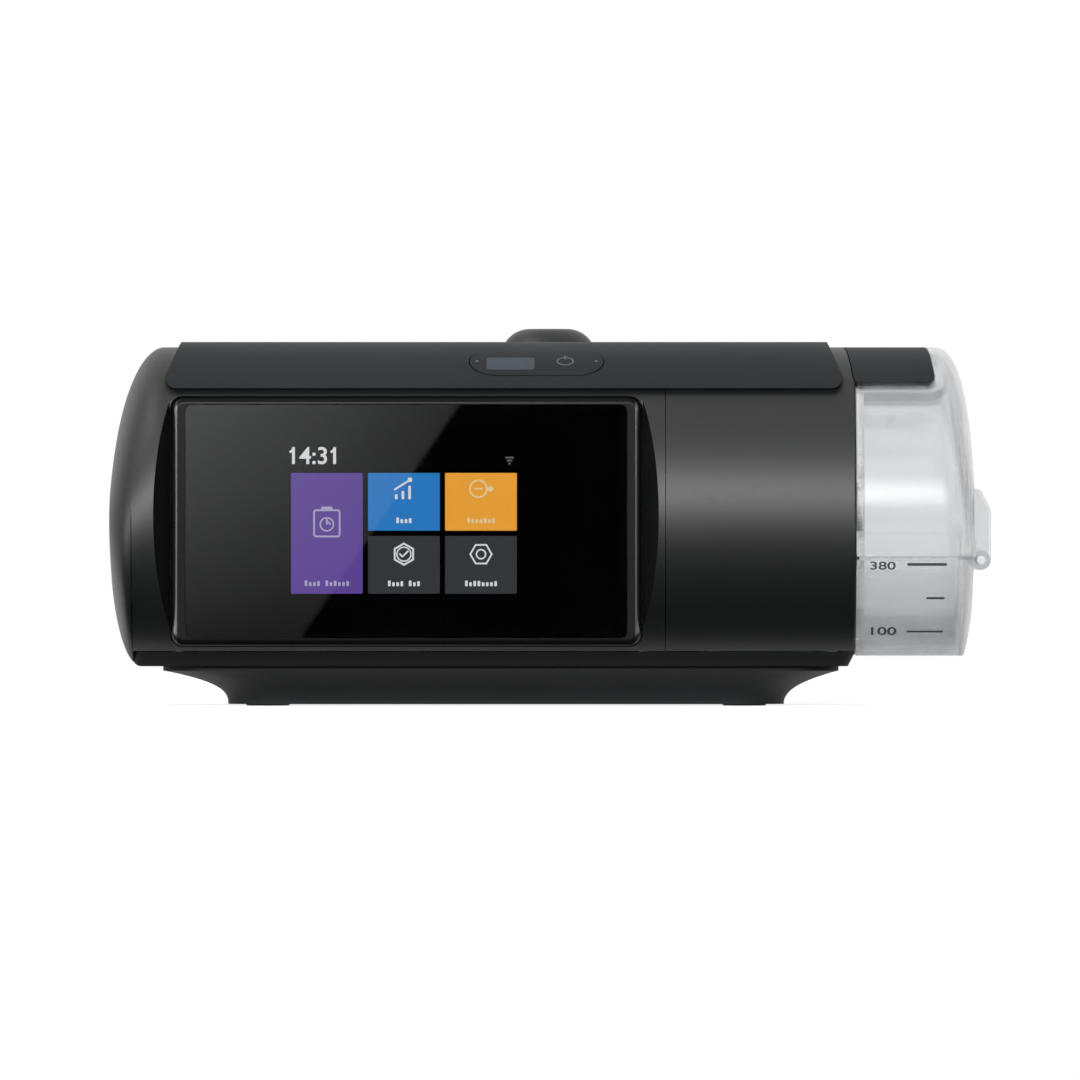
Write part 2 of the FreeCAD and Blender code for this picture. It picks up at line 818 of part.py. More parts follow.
def start_button():
    """Crowned key with a skirt, a retaining tab under the shell at each end and a stem."""
    reach = key_length / 2 + key_tab + moving_gap
    body = stadium(key_length, key_width, -key_depth, key_depth)
    body = body.fuse(box(-reach, reach, -key_tab_width / 2, key_tab_width / 2, -key_depth,
                         -key_depth + key_tab_height))
    hollow = stadium(key_length - 2 * key_skirt, key_width - 2 * key_skirt, -key_depth - 1.0,
                     -key_skirt - 2 * key_proud - 0.6)
    stem = rod(key_stem_radius, Vector(0, 0, -key_depth - key_stem_drop), Vector(0, 0, -key_skirt))
    key = on_barrel(body.cut(hollow).fuse(stem), key_middle_x, key_angle, plate_radius)
    span = key_length
    crown = barrel(key_middle_x - span, key_middle_x + span, -plate_thickness - key_proud)
    return key.common(crown).removeSplitter()


def button_board():
    """Small board with its switch, on the two posts."""
    top = -(key_depth + key_board_drop)
    board = rounded_block(-key_board_length / 2, key_board_length / 2, -key_board_width / 2,
                          key_board_width / 2, top - board_thickness, top, 1.0)
    return on_barrel(board, key_middle_x, key_angle, plate_radius)


def start_switch():
    base = -(key_depth + key_board_drop)
    half = switch_width / 2
    body = box(-half, half, -half, half, base, base + switch_height)
    tip = -key_depth - key_stem_drop - key_travel - panel_gap
    plunger = rod(key_stem_radius * 0.9, Vector(0, 0, base + switch_height), Vector(0, 0, tip))
    return on_barrel(body.fuse(plunger), key_middle_x, key_angle, plate_radius)


# ---------------------------------------------------------------- display

def display_bezel():
    outer = upright_block(bezel_left_x, bezel_right_x, bezel_bottom_z, bezel_top_z,
                          bezel_front_y, bezel_back_y, bezel_corner_radius)
    front_rim = [edge for edge in outer.Edges if edge.BoundBox.YMax < bezel_front_y + 0.01]
    outer = outer.makeFillet(bezel_rounding, front_rim)
    step = upright_block(bezel_left_x + bezel_border, bezel_right_x - bezel_border,
                         bezel_bottom_z + bezel_border / 2, bezel_top_z - bezel_border / 2,
                         bezel_front_y - 1.0, glass_back_y(), bezel_corner_radius / 2)
    ledge = upright_block(bezel_left_x + bezel_border + panel_margin, bezel_right_x - bezel_border - panel_margin,
                          bezel_bottom_z + bezel_border / 2 + panel_margin,
                          bezel_top_z - bezel_border / 2 - panel_margin,
                          bezel_front_y - 1.0, bezel_back_y + 1.0, bezel_corner_radius / 2)
    return outer.cut(step).cut(ledge)


def glass_back_y():
    return bezel_front_y + glass_setback + glass_thickness


def display_glass():
    return upright_block(bezel_left_x + bezel_border + panel_gap, bezel_right_x - bezel_border - panel_gap,
                         bezel_bottom_z + bezel_border / 2 + panel_gap,
                         bezel_top_z - bezel_border / 2 - panel_gap,
                         bezel_front_y + glass_setback, glass_back_y(), bezel_corner_radius / 2)


def display_panel():
    inset_x = bezel_border + panel_margin + panel_gap
    inset_z = bezel_border / 2 + panel_margin + panel_gap
    return upright_block(bezel_left_x + inset_x, bezel_right_x - inset_x,
                         bezel_bottom_z + inset_z, bezel_top_z - inset_z,
                         glass_back_y(), glass_back_y() + panel_thickness, bezel_corner_radius / 2)


def display_board():
    inset_x = bezel_border + board_margin
    inset_z = bezel_border / 2 + board_margin
    y0 = glass_back_y() + panel_thickness
    board = upright_block(bezel_left_x + inset_x, bezel_right_x - inset_x,
                          bezel_bottom_z + inset_z, bezel_top_z - inset_z,
                          y0, y0 + board_thickness, bezel_corner_radius / 2)
    connector = box(bezel_right_x - 34.0, bezel_right_x - 14.0, y0 + board_thickness,
                    y0 + board_thickness + 5.0, end_middle_z - 3.0, end_middle_z + 3.0)
    driver = box(bezel_left_x + 40.0, bezel_left_x + 54.0, y0 + board_thickness,
                 y0 + board_thickness + 1.4, end_middle_z - 7.0, end_middle_z + 7.0)
    return board.fuse(connector).fuse(driver)


# ---------------------------------------------------------------- outlet elbow

def outlet_elbow():
    base_z = pocket_floor_z + moving_gap
    r = elbow_head_radius
    crown_z = elbow_top_z - elbow_dome_height
    shoulder_r = elbow_head_flat_radius + (r - elbow_head_flat_radius) * 0.76
    shoulder_z = crown_z + elbow_dome_height * 0.66
    profile = [
        line(Vector(0, 0, base_z), Vector(r, 0, base_z)),
        line(Vector(r, 0, base_z), Vector(r, 0, crown_z)),
        Part.Arc(Vector(r, 0, crown_z), Vector(shoulder_r, 0, shoulder_z),
                 Vector(elbow_head_flat_radius, 0, elbow_top_z)).toShape(),
        line(Vector(elbow_head_flat_radius, 0, elbow_top_z), Vector(0, 0, elbow_top_z)),
        line(Vector(0, 0, elbow_top_z), Vector(0, 0, base_z)),
    ]
    head = Part.Face(Part.Wire(profile)).revolve(Vector(0, 0, 0), Vector(0, 0, 1), 360)
    head = head.translated(Vector(elbow_x, elbow_y, 0))
    root = Vector(elbow_x, elbow_y, spigot_axis_z)
    tip = Vector(elbow_x, spigot_end_y, spigot_axis_z)
    cuff_stop = Vector(elbow_x, spigot_end_y - cuff_length, spigot_axis_z)
    bead_start = cuff_stop - Vector(0, spigot_bead_width, 0)
    stem = rod(spigot_radius - spigot_root_step, root, bead_start)
    bead = rod(spigot_radius + spigot_bead, bead_start, cuff_stop)
    spigot = stem.fuse(bead).fuse(rod(spigot_radius, cuff_stop, tip))
    neck = rod(neck_radius, Vector(elbow_x, elbow_y, neck_bottom_z), Vector(elbow_x, elbow_y, base_z))
    elbow = head.fuse(spigot).fuse(neck)
    bore = spigot_radius - spigot_wall
    up = rod(neck_radius - neck_wall, Vector(elbow_x, elbow_y, neck_bottom_z - 1.0), root)
    out = rod(bore, root, Vector(elbow_x, spigot_end_y + 1.0, spigot_axis_z))
    turn = Part.makeSphere(bore, root)
    groove_z = neck_bottom_z + seal_lift
    groove = pipe(neck_radius + 1.0, neck_radius - seal_groove_depth, Vector(elbow_x, elbow_y, groove_z),
                  Vector(elbow_x, elbow_y, groove_z + seal_height + panel_gap))
    return elbow.cut(up).cut(out).cut(turn).cut(groove).removeSplitter()


def elbow_seal():
    z = neck_bottom_z + seal_lift + panel_gap / 2
    return pipe(neck_radius, neck_radius - seal_groove_depth + touch_gap,
                Vector(elbow_x, elbow_y, z), Vector(elbow_x, elbow_y, z + seal_height))


# ---------------------------------------------------------------- tank bay

def latch_form(grow, depth):
    """The latch pad's leaning outline, run down square to its face."""
    half_x = latch_width / 2 + grow
    half_v = latch_height / 2 + grow
    lean = latch_lean * half_v / latch_height
    outline = [
        Vector(-half_x + lean, -half_v, -depth), Vector(half_x + lean, -half_v, -depth),
        Vector(half_x - lean, half_v, -depth), Vector(-half_x - lean, half_v, -depth),
    ]
    height = depth + 3 * latch_thickness
    block = Part.Face(Part.makePolygon(outline + outline[:1])).extrude(Vector(0, 0, height))
    upright = [edge for edge in block.Edges if edge.BoundBox.ZLength > height / 2]
    block = block.makeFillet(latch_corner_radius + grow / 2, upright)
    return on_barrel(block, latch_middle_x(), latch_angle, front_radius)


def latch_middle_x():
    return tank_face_x - latch_left_overhang + latch_width / 2


def latch_space(grow):
    """Room for the pad and its travel, below the outer surface."""
    depth = latch_thickness + latch_travel + moving_gap
    x0 = tank_face_x - 3 * latch_left_overhang
    x1 = tank_end_x
    band = barrel(x0, x1, -1.0).cut(barrel(x0 - 1.0, x1 + 1.0, depth + grow))
    return latch_form(moving_gap + grow, 4 * depth).common(band)


def port_places():
    return [(supply_duct_y, port_z), (outlet_duct_y, port_z)]


def bay_shell():
    """Right-hand housing panel with the end wall that faces the tank."""
    outer = barrel(bay_seam_x, tank_face_x)
    face_rim = [edge for edge in outer.Edges if edge.BoundBox.XMin > tank_face_x - 0.01]
    inner = barrel(bay_seam_x, tank_face_x - wall, wall)
    shell = outer.makeChamfer(edge_break, face_rim).cut(inner)
    mouth = barrel(bay_seam_x, tank_face_x + 1.0, wall).common(slab(housing_bottom_z, liner_roof_z))
    shell = shell.cut(mouth).cut(latch_space(0.0))
    for y, z in port_places():
        shell = shell.cut(rod(duct_radius + panel_gap, Vector(tank_face_x - 2 * wall, y, z),
                              Vector(tank_face_x + 1.0, y, z)))
    return shell.common(above(tray_top_z + panel_gap)).removeSplitter()


def bay_liner():
    """Dry wall and roof round the tank bay."""
    x0 = bay_seam_x + panel_gap
    x1 = tank_face_x - wall - panel_gap
    form = barrel(x0, x1, wall + touch_gap).common(slab(floor_z, liner_roof_z + liner_thickness))
    room = barrel(x0 + liner_thickness, x1 + 1.0, wall + touch_gap - 1.0)
    room = room.common(slab(housing_bottom_z, liner_roof_z))
    return form.cut(room).removeSplitter().common(tray_clear())


def tray_clear():
    """Everything that stays inside the tray's rim."""
    return above(tray_top_z).fuse(tray_form(wall + panel_gap, floor_z, tray_top_z + 1.0))


def heater_plate():
    z0 = floor_z + heater_pad_thickness
    return rounded_block(heater_left_x, heater_right_x, heater_front_y, heater_back_y, z0,
                         z0 + heater_thickness, 4.0)


def heater_pad():
    lap = base_plate_lap / 2
    return rounded_block(heater_left_x - lap, heater_right_x + lap, heater_front_y - lap,
                         heater_back_y + lap, floor_z, floor_z + heater_pad_thickness, 4.0)


def port_seals():
    """Rubber rings in the two air ports of the tank face."""
    rings = []
    for y, z in port_places():
        rings.append(pipe(duct_radius, duct_radius - seal_ring_width,
                          Vector(tank_face_x - wall, y, z),
                          Vector(tank_face_x + port_seal_proud, y, z)))
    return Part.makeCompound(rings)


# ---------------------------------------------------------------- tank

def tank_form(inset):
    """Outer shape of the tank beyond the housing, drawn in by an inset."""
    start_x = shoulder_x + max(inset, 0.0)
    round_x = tank_end_x - tank_top_rounding
    straight = barrel(start_x, round_x, inset)
    dome = tank_end.loft(round_x, tank_end_x - inset, inset, 7)
    return straight.fuse(dome)


def insert_form(inset, x0, x1, z0, z1):
    """The part of the tank that slides into the housing."""
    return barrel(x0, x1, insert_inset + inset).common(slab(z0, z1))


def hinge_rod(radius, y0, y1):
    return rod(radius, Vector(hinge_x, y0, parting_z), Vector(hinge_x, y1, parting_z))


def tank_tub():
    basin = tank_form(0.0).common(slab(tank_bottom_z, parting_z))
    insert = insert_form(0.0, insert_left_x, shoulder_x + tank_wall, insert_floor_z, parting_z)
    basin_room = tank_form(tank_wall).common(slab(tank_bottom_z + tank_wall, parting_z + 1.0))
    room = insert_form(tank_wall, insert_left_x + tank_wall, shoulder_x + 2 * tank_wall,
                       insert_floor_z + tank_wall, parting_z + 1.0)
    bridge = insert_form(tank_wall / 2, shoulder_x, shoulder_x + tank_wall, parting_z - tank_wall, parting_z)
    window = box(heater_left_x + base_plate_lap, heater_right_x - base_plate_lap,
                 heater_front_y + base_plate_lap, heater_back_y - base_plate_lap,
                 insert_floor_z - 1.0, insert_floor_z + 2 * tank_wall)
    tub = basin.fuse(insert).cut(basin_room.fuse(room)).fuse(bridge).cut(window)
    arm = box(tank_end_x - tank_wall, hinge_x, -knuckle_half_length, knuckle_half_length,
              parting_z - knuckle_radius, parting_z - moving_gap)
    knuckle = hinge_rod(knuckle_radius, -knuckle_half_length, knuckle_half_length)
    arm = arm.cut(tank_form(tank_wall / 2))
    tub = tub.fuse(arm).fuse(knuckle)
    tub = tub.cut(hinge_rod(hinge_pin_radius + running_gap, -hinge_half_length, hinge_half_length))
    for side in (-1, 1):
        y_in = side * (knuckle_half_length + 0.01)
        y_out = side * (hinge_half_length + moving_gap)
        tub = tub.cut(hinge_rod(knuckle_radius + moving_gap, min(y_in, y_out), max(y_in, y_out)))
    return tub.removeSplitter()


def tank_roof():
    """Fixed roof over the inserted half of the tank."""
    return insert_form(0.0, insert_left_x, shoulder_x - panel_gap, parting_z, roof_top_z)


def tank_base_plate():
    """Heat-conducting metal floor of the tank."""
    return rounded_block(heater_left_x, heater_right_x, heater_front_y, heater_back_y,
                         base_plate_z, insert_floor_z, 4.0)


def tank_lid():
    over = above(lid_bottom_z)
    shell = tank_form(0.0).common(over)
    band = tank_form(-rim_band_proud).common(slab(lid_bottom_z, lid_bottom_z + rim_band_height))
    room = tank_form(tank_wall).common(above(lid_bottom_z - 1.0))
    seat = latch_space(tank_wall).common(tank_form(0.0))
    lid = shell.fuse(band).cut(room).fuse(seat).cut(latch_space(0.0))
    for y, z in port_places():
        lid = lid.cut(rod(duct_radius - seal_ring_width, Vector(shoulder_x - 1.0, y, z),
                          Vector(shoulder_x + 2 * tank_wall, y, z)))
    for side in (-1, 1):
        y_in = side * (knuckle_half_length + moving_gap)
        y_out = side * hinge_half_length
        lid = lid.fuse(hinge_lug(min(y_in, y_out), max(y_in, y_out)))
        lid = lid.cut(latch_peg(side, latch_peg_radius + running_gap))
    lid = lid.cut(hinge_rod(knuckle_radius + moving_gap, -knuckle_half_length - moving_gap,
                            knuckle_half_length + moving_gap))
    lid = lid.cut(hinge_rod(hinge_pin_radius + running_gap, -hinge_half_length - 1.0,
                            hinge_half_length + 1.0))
    return lid.removeSplitter()


def hinge_lug(y0, y1):
    """Rib and knuckle that carry the lid on its pin."""
    root_x = tank_end_x
    tip_x = hinge_x + knuckle_radius
    top_z = parting_z + lug_height
    outline = [
        Vector(root_x, y0, lid_bottom_z),
        Vector(hinge_x, y0, parting_z),
        Vector(tip_x, y0, parting_z),
        Vector(tip_x, y0, top_z - lug_slope_height),
        Vector(hinge_x, y0, top_z - lug_slope_height / 3),
        Vector(root_x - 3 * tank_wall, y0, top_z),
        Vector(root_x - 3 * tank_wall, y0, lid_bottom_z + rim_band_height),
        Vector(root_x, y0, lid_bottom_z + rim_band_height),
    ]
    rib = Part.Face(Part.makePolygon(outline + outline[:1])).extrude(Vector(0, y1 - y0, 0))
    rib = rib.cut(tank_form(tank_wall / 2))
    return rib.fuse(hinge_rod(knuckle_radius, y0, y1))


def lid_gasket():
    ring = tank_form(gasket_inset).cut(tank_form(gasket_inset + gasket_width))
    return ring.common(slab(parting_z + touch_gap, lid_bottom_z))


def hinge_pin():
    return hinge_rod(hinge_pin_radius, -hinge_half_length, hinge_half_length)


def latch_peg(side, radius):
    peg = rod(radius, Vector(0, side * latch_peg_spacing / 2, -latch_peg_length),
              Vector(0, side * latch_peg_spacing / 2, -latch_thickness / 2))
    middle = shoulder_x + (latch_width - latch_left_overhang) / 2
    return on_barrel(peg, middle, latch_angle, front_radius)


def latch_pad():
    """Press pad that follows the barrel, with two guide pegs."""
    x0 = tank_face_x - 3 * latch_left_overhang
    x1 = tank_end_x
    band = barrel(x0, x1).cut(barrel(x0 - 1.0, x1 + 1.0, latch_thickness))
    pad = latch_form(0.0, 4 * latch_thickness).common(band)
    for side in (-1, 1):
        pad = pad.fuse(latch_peg(side, latch_peg_radius))
    return pad.removeSplitter()


# ---------------------------------------------------------------- rear door, filter, inlet

def filter_cover():
    """Louvred door with a round hinge edge and two pins."""
    right = door_left_x + door_width
    half = door_thickness / 2
    top_z = door_bottom_z + door_height
    door = box(door_left_x + half, right, rear_y - door_thickness, rear_y, door_bottom_z, top_z)
    door = door.fuse(rod(half, door_axis(door_bottom_z), door_axis(top_z)))
    pitch = (door_width - 4 * filter_margin) / door_slot_count
    for index in range(door_slot_count):
        x = door_left_x + 2 * filter_margin + pitch * index
        slot = upright_block(x + (pitch - door_slot_width) / 2, x + (pitch + door_slot_width) / 2,
                             door_bottom_z + 2 * filter_margin, top_z - 2 * filter_margin,
                             rear_y - 2 * door_thickness, rear_y + 1.0, door_slot_width / 2 - 0.01)
        door = door.cut(slot)
    return door.fuse(door_pin_rod(door_pin_radius, 0.0)).removeSplitter()


def air_filter():
    grown = filter_box(-panel_gap, filter_thickness - panel_gap)
    return grown.common(box(-housing_depth * 2, housing_depth * 2, 0, rear_y - door_thickness - moving_gap,
                            0, housing_top_z))


def power_inlet():
    """Panel-mounted low-voltage socket with its centre pin."""
    half_x = inlet_width / 2
    half_z = inlet_height / 2
    body = box(inlet_x - half_x, inlet_x + half_x, rear_y - inlet_depth, rear_y,
               inlet_z - half_z, inlet_z + half_z)
    lip = box(inlet_x - half_x - inlet_lip, inlet_x + half_x + inlet_lip,
              rear_y - wall - inlet_lip - touch_gap, rear_y - wall - touch_gap,
              inlet_z - half_z - inlet_lip, inlet_z + half_z + inlet_lip)
    floor_y = rear_y - inlet_bore_depth
    bore = rod(inlet_bore_radius, Vector(inlet_x, floor_y, inlet_z), Vector(inlet_x, rear_y + 1.0, inlet_z))
    pin = rod(inlet_pin_radius, Vector(inlet_x, floor_y - 0.5, inlet_z),
              Vector(inlet_x, rear_y - 0.5, inlet_z))
    return body.fuse(lip).cut(bore).fuse(pin)


# ---------------------------------------------------------------- blower

def spiral_solid(grow, z0, z1):
    """Spiral drum: radius grows with the angle round to the outlet at the front."""
    spline = Part.BSplineCurve()
    points = []
    steps = 12
    for step in range(steps + 1):
        share = step / steps
        radius = volute_start_radius + (volute_end_radius - volute_start_radius) * share + grow
        angle = -math.pi / 2 + 2 * math.pi * (1.0 - share)
        points.append(Vector(blower_x + radius * math.cos(angle), blower_y + radius * math.sin(angle), z0))
    spline.interpolate(points)
    edges = [spline.toShape(), line(points[-1], points[0])]
    drum = Part.Face(Part.Wire(edges)).extrude(Vector(0, 0, z1 - z0))
    half = volute_end_radius - blower_outlet_offset + grow
    outlet = box(blower_x, blower_x + volute_outlet_reach, supply_duct_y - half, supply_duct_y + half, z0, z1)
    return drum.fuse(outlet)


def volute_ears(z0, z1, radius):
    ears = []
    for angle in (30.0, 150.0, 270.0):
        x = blower_x + ear_circle_radius * math.cos(math.radians(angle))
        y = blower_y + ear_circle_radius * math.sin(math.radians(angle))
        ears.append(rod(radius, Vector(x, y, z0), Vector(x, y, z1)))
    return ears


def volute_lower():
    z0 = volute_bottom_z
    half = spiral_solid(volute_wall, z0, volute_mid_z)
    for ear in volute_ears(z0, z0 + 3.0, ear_radius):
        half = half.fuse(ear)
    half = half.cut(spiral_solid(0.0, z0 + volute_wall, volute_mid_z + 1.0))
    eye = rod(impeller_eye_radius, Vector(blower_x, blower_y, z0 - 1.0),
              Vector(blower_x, blower_y, z0 + 2 * volute_wall))
    return half.cut(eye).removeSplitter()


def volute_upper():
    z1 = volute_top_z
    half = spiral_solid(volute_wall, volute_mid_z, z1)
    half = half.cut(spiral_solid(0.0, volute_mid_z - 1.0, z1 - volute_wall))
    hole = rod(shaft_radius * 2, Vector(blower_x, blower_y, z1 - 2 * volute_wall),
               Vector(blower_x, blower_y, z1 + 1.0))
    return half.cut(hole).removeSplitter()


def blade(index):
    """One backward-swept blade, a curved strip from the eye to the rim."""
    turn = 2 * math.pi * index / impeller_blades
    sweep = math.radians(blade_sweep)
    inner = impeller_eye_radius + 0.5
    outer = impeller_radius
    edges = []
    sides = []
    for side in (-1, 1):
        points = []
        for share, radius in ((0.0, inner), (0.55, (inner + outer) / 2), (1.0, outer)):
            angle = turn - sweep * share + side * blade_thickness / 2 / radius
            points.append(Vector(blower_x + radius * math.cos(angle),
                                 blower_y + radius * math.sin(angle), blade_bottom_z()))
        sides.append(points)
        edges.append(Part.Arc(points[0], points[1], points[2]).toShape())
    edges.append(line(sides[0][0], sides[1][0]))
    edges.append(line(sides[0][2], sides[1][2]))
    wire = Part.Wire(Part.__sortEdges__(edges))
    return Part.Face(wire).extrude(Vector(0, 0, impeller_height))


def blade_bottom_z():
    return volute_mid_z - impeller_height / 2


def impeller():
    z0 = blade_bottom_z()
    z1 = z0 + impeller_height
    centre = Vector(blower_x, blower_y, 0)
    disc = rod(impeller_radius, centre + Vector(0, 0, z1 - 0.1), centre + Vector(0, 0, z1 + disc_thickness))
    shroud = pipe(impeller_radius, impeller_eye_radius, centre + Vector(0, 0, z0 - disc_thickness),
                  centre + Vector(0, 0, z0 + 0.1))
    hub = Part.makeCone(impeller_hub_radius * 0.5, impeller_hub_radius, impeller_height,
                        centre + Vector(0, 0, z0))
    wheel = join([disc, shroud, hub] + [blade(index) for index in range(impeller_blades)])
    shaft = rod(shaft_radius, centre + Vector(0, 0, z0 - 1.0), centre + Vector(0, 0, z1 + 4.0))
    return wheel.cut(shaft)


def motor_shaft():
    """Shaft with the rotor magnet between its bearings."""
    centre = Vector(blower_x, blower_y, 0)
    z0 = volute_top_z + motor_wall + bearing_width + 1.0
    z1 = volute_top_z + motor_height - motor_wall - bearing_width - 1.0
    shaft = rod(shaft_radius, centre + Vector(0, 0, blade_bottom_z()),
                centre + Vector(0, 0, volute_top_z + motor_height - motor_wall - 0.5))
    return shaft.fuse(rod(rotor_radius, centre + Vector(0, 0, z0), centre + Vector(0, 0, z1)))


def motor_housing():
    centre = Vector(blower_x, blower_y, 0)
    base = volute_top_z
    top = base + motor_height
    can = rod(motor_radius, centre + Vector(0, 0, base), centre + Vector(0, 0, top))
    room = rod(motor_radius - motor_wall, centre + Vector(0, 0, base + motor_wall),
               centre + Vector(0, 0, top - motor_wall))
    seats = [
        rod(bearing_radius + motor_wall, centre + Vector(0, 0, base + motor_wall - 0.5),
            centre + Vector(0, 0, base + motor_wall + bearing_width)),
        rod(bearing_radius + motor_wall, centre + Vector(0, 0, top - motor_wall - bearing_width),
            centre + Vector(0, 0, top - motor_wall + 0.5)),
    ]
    housing = can.cut(room).fuse(seats[0]).fuse(seats[1])
    for z in bearing_places():
        housing = housing.cut(rod(bearing_radius, centre + Vector(0, 0, z),
                                  centre + Vector(0, 0, z + bearing_width)))
    way = rod(shaft_radius * 1.5, centre + Vector(0, 0, base - 1.0),
              centre + Vector(0, 0, top - motor_wall))
    return housing.cut(way).removeSplitter()


def bearing_places():
    low = volute_top_z + motor_wall
    return [low, volute_top_z + motor_height - motor_wall - bearing_width]


def motor_bearings():
    centre = Vector(blower_x, blower_y, 0)
    rings = []
    for z in bearing_places():
        rings.append(pipe(bearing_radius - touch_gap, shaft_radius + running_gap,
                          centre + Vector(0, 0, z), centre + Vector(0, 0, z + bearing_width)))
    return Part.makeCompound(rings)


def motor_coils():
    """Stator winding ring round the rotor."""
    centre = Vector(blower_x, blower_y, 0)
    low, high = bearing_places()
    return pipe(motor_radius - motor_wall - touch_gap, rotor_radius + 0.8,
                centre + Vector(0, 0, low + bearing_width + 0.6), centre + Vector(0, 0, high - 0.6))


def blower_mounts():
    return Part.makeCompound(volute_ears(floor_z, volute_bottom_z, mount_radius))


def supply_duct():
    """From the blower up to the tank's inlet port."""
    start_x = blower_x + volute_outlet_reach + panel_gap
    rise = port_z - volute_mid_z
    end_x = tank_face_x - wall
    points = [
        Vector(start_x, supply_duct_y, volute_mid_z),
        Vector(start_x + 28.0, supply_duct_y, volute_mid_z),
        Vector(start_x + 28.0 + rise * 0.8, supply_duct_y, port_z),
        Vector(end_x, supply_duct_y, port_z),
    ]
    return swept_tube(points, duct_bend_radius * 1.5, duct_radius, duct_radius - duct_wall)


def outlet_duct():
    """From the tank's outlet port back under the elbow's collar."""
    top_z = neck_bottom_z - panel_gap
    points = [
        Vector(tank_face_x - wall, outlet_duct_y, port_z),
        Vector(elbow_x, outlet_duct_y, port_z),
        Vector(elbow_x, outlet_duct_y, top_z),
    ]
    return swept_tube(points, duct_bend_radius, duct_radius, duct_radius - duct_wall)


def inlet_foam():
    """Sound-absorbing foam under the blower, open round its eye."""
    z1 = floor_z + foam_thickness
    foam = rounded_block(blower_x - foam_half_width, blower_x + foam_half_width, blower_y - foam_half_width,
                         blower_y + foam_half_width, floor_z, z1, 6.0)
    eye = rod(impeller_eye_radius, Vector(blower_x, blower_y, floor_z - 1.0),
              Vector(blower_x, blower_y, z1 + 1.0))
    channel = box(blower_x - impeller_eye_radius / 2, blower_x + impeller_eye_radius / 2, blower_y,
                  blower_y + 2 * foam_half_width, floor_z + foam_thickness / 2, z1 + 1.0)
    return foam.cut(eye).cut(channel)


# ---------------------------------------------------------------- main board

def board_standoffs():
    return [(x, y)
            for x in (main_board_left_x + standoff_inset, main_board_right_x - standoff_inset)
            for y in (main_board_front_y + standoff_inset, main_board_back_y - standoff_inset)]


def main_board():
    z0 = floor_z + main_board_rise
    z1 = z0 + board_thickness
    board = rounded_block(main_board_left_x, main_board_right_x, main_board_front_y, main_board_back_y,
                          z0, z1, 2.0)
    chip = box(main_board_left_x + 14.0, main_board_left_x + 28.0, -2.0, 12.0, z1, z1 + 1.6)
    capacitors = [rod(3.5, Vector(main_board_right_x - 8.0, y, z1), Vector(main_board_right_x - 8.0, y, z1 + 9.0))
                  for y in (0.0, 9.0, 18.0)]
    header = box(main_board_right_x - 22.0, main_board_right_x - 16.0, -6.0, 14.0, z1, z1 + 6.0)
    return join([board, chip, header] + capacitors)


# ---------------------------------------------------------------- output

nodes = {
    "main_shell": main_shell,
    "bay_shell": bay_shell,
    "left_end_cap": left_end_cap,
    "bottom_tray": bottom_tray,
    "tray_screws": tray_screws,
    "pedestal_base": pedestal_base,
    "base_screws": base_screws,
    "rubber_feet": rubber_feet,
    "top_plate": top_plate,
    "start_button": start_button,
    "button_board": button_board,
    "start_switch": start_switch,
    "display_bezel": display_bezel,
    "display_glass": display_glass,
    "display_panel": display_panel,
    "display_board": display_board,
    "outlet_elbow": outlet_elbow,
    "elbow_seal": elbow_seal,
    "bay_liner": bay_liner,
    "heater_plate": heater_plate,
    "heater_pad": heater_pad,
    "port_seals": port_seals,
    "tank_tub": tank_tub,
    "tank_roof": tank_roof,
    "tank_base_plate": tank_base_plate,
    "tank_lid": tank_lid,
    "lid_gasket": lid_gasket,
    "hinge_pin": hinge_pin,
    "latch_pad": latch_pad,
    "filter_cover": filter_cover,
    "air_filter": air_filter,
    "power_inlet": power_inlet,
    "volute_lower": volute_lower,
    "volute_upper": volute_upper,
    "impeller": impeller,
    "motor_shaft": motor_shaft,
    "motor_housing": motor_housing,
    "motor_bearings": motor_bearings,
    "motor_coils": motor_coils,
    "blower_mounts": blower_mounts,
    "supply_duct": supply_duct,
    "outlet_duct": outlet_duct,
    "inlet_foam": inlet_foam,
    "main_board": main_board,
}


def main():
    os.makedirs("parts", exist_ok=True)
    for name, make in nodes.items():
        shape = make()
        solids = len(shape.Solids)
        print(name, "solids", solids, "valid", shape.isValid(), "volume", round(shape.Volume, 1))
        shape.exportStep("parts/" + name + ".step")


main()
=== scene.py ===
"""Looks of a bedside breathing-therapy machine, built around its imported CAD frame.

Laid out as an add-on and run as a script. Lengths are metres, in the frame of the CAD model.
"""

import json
import math

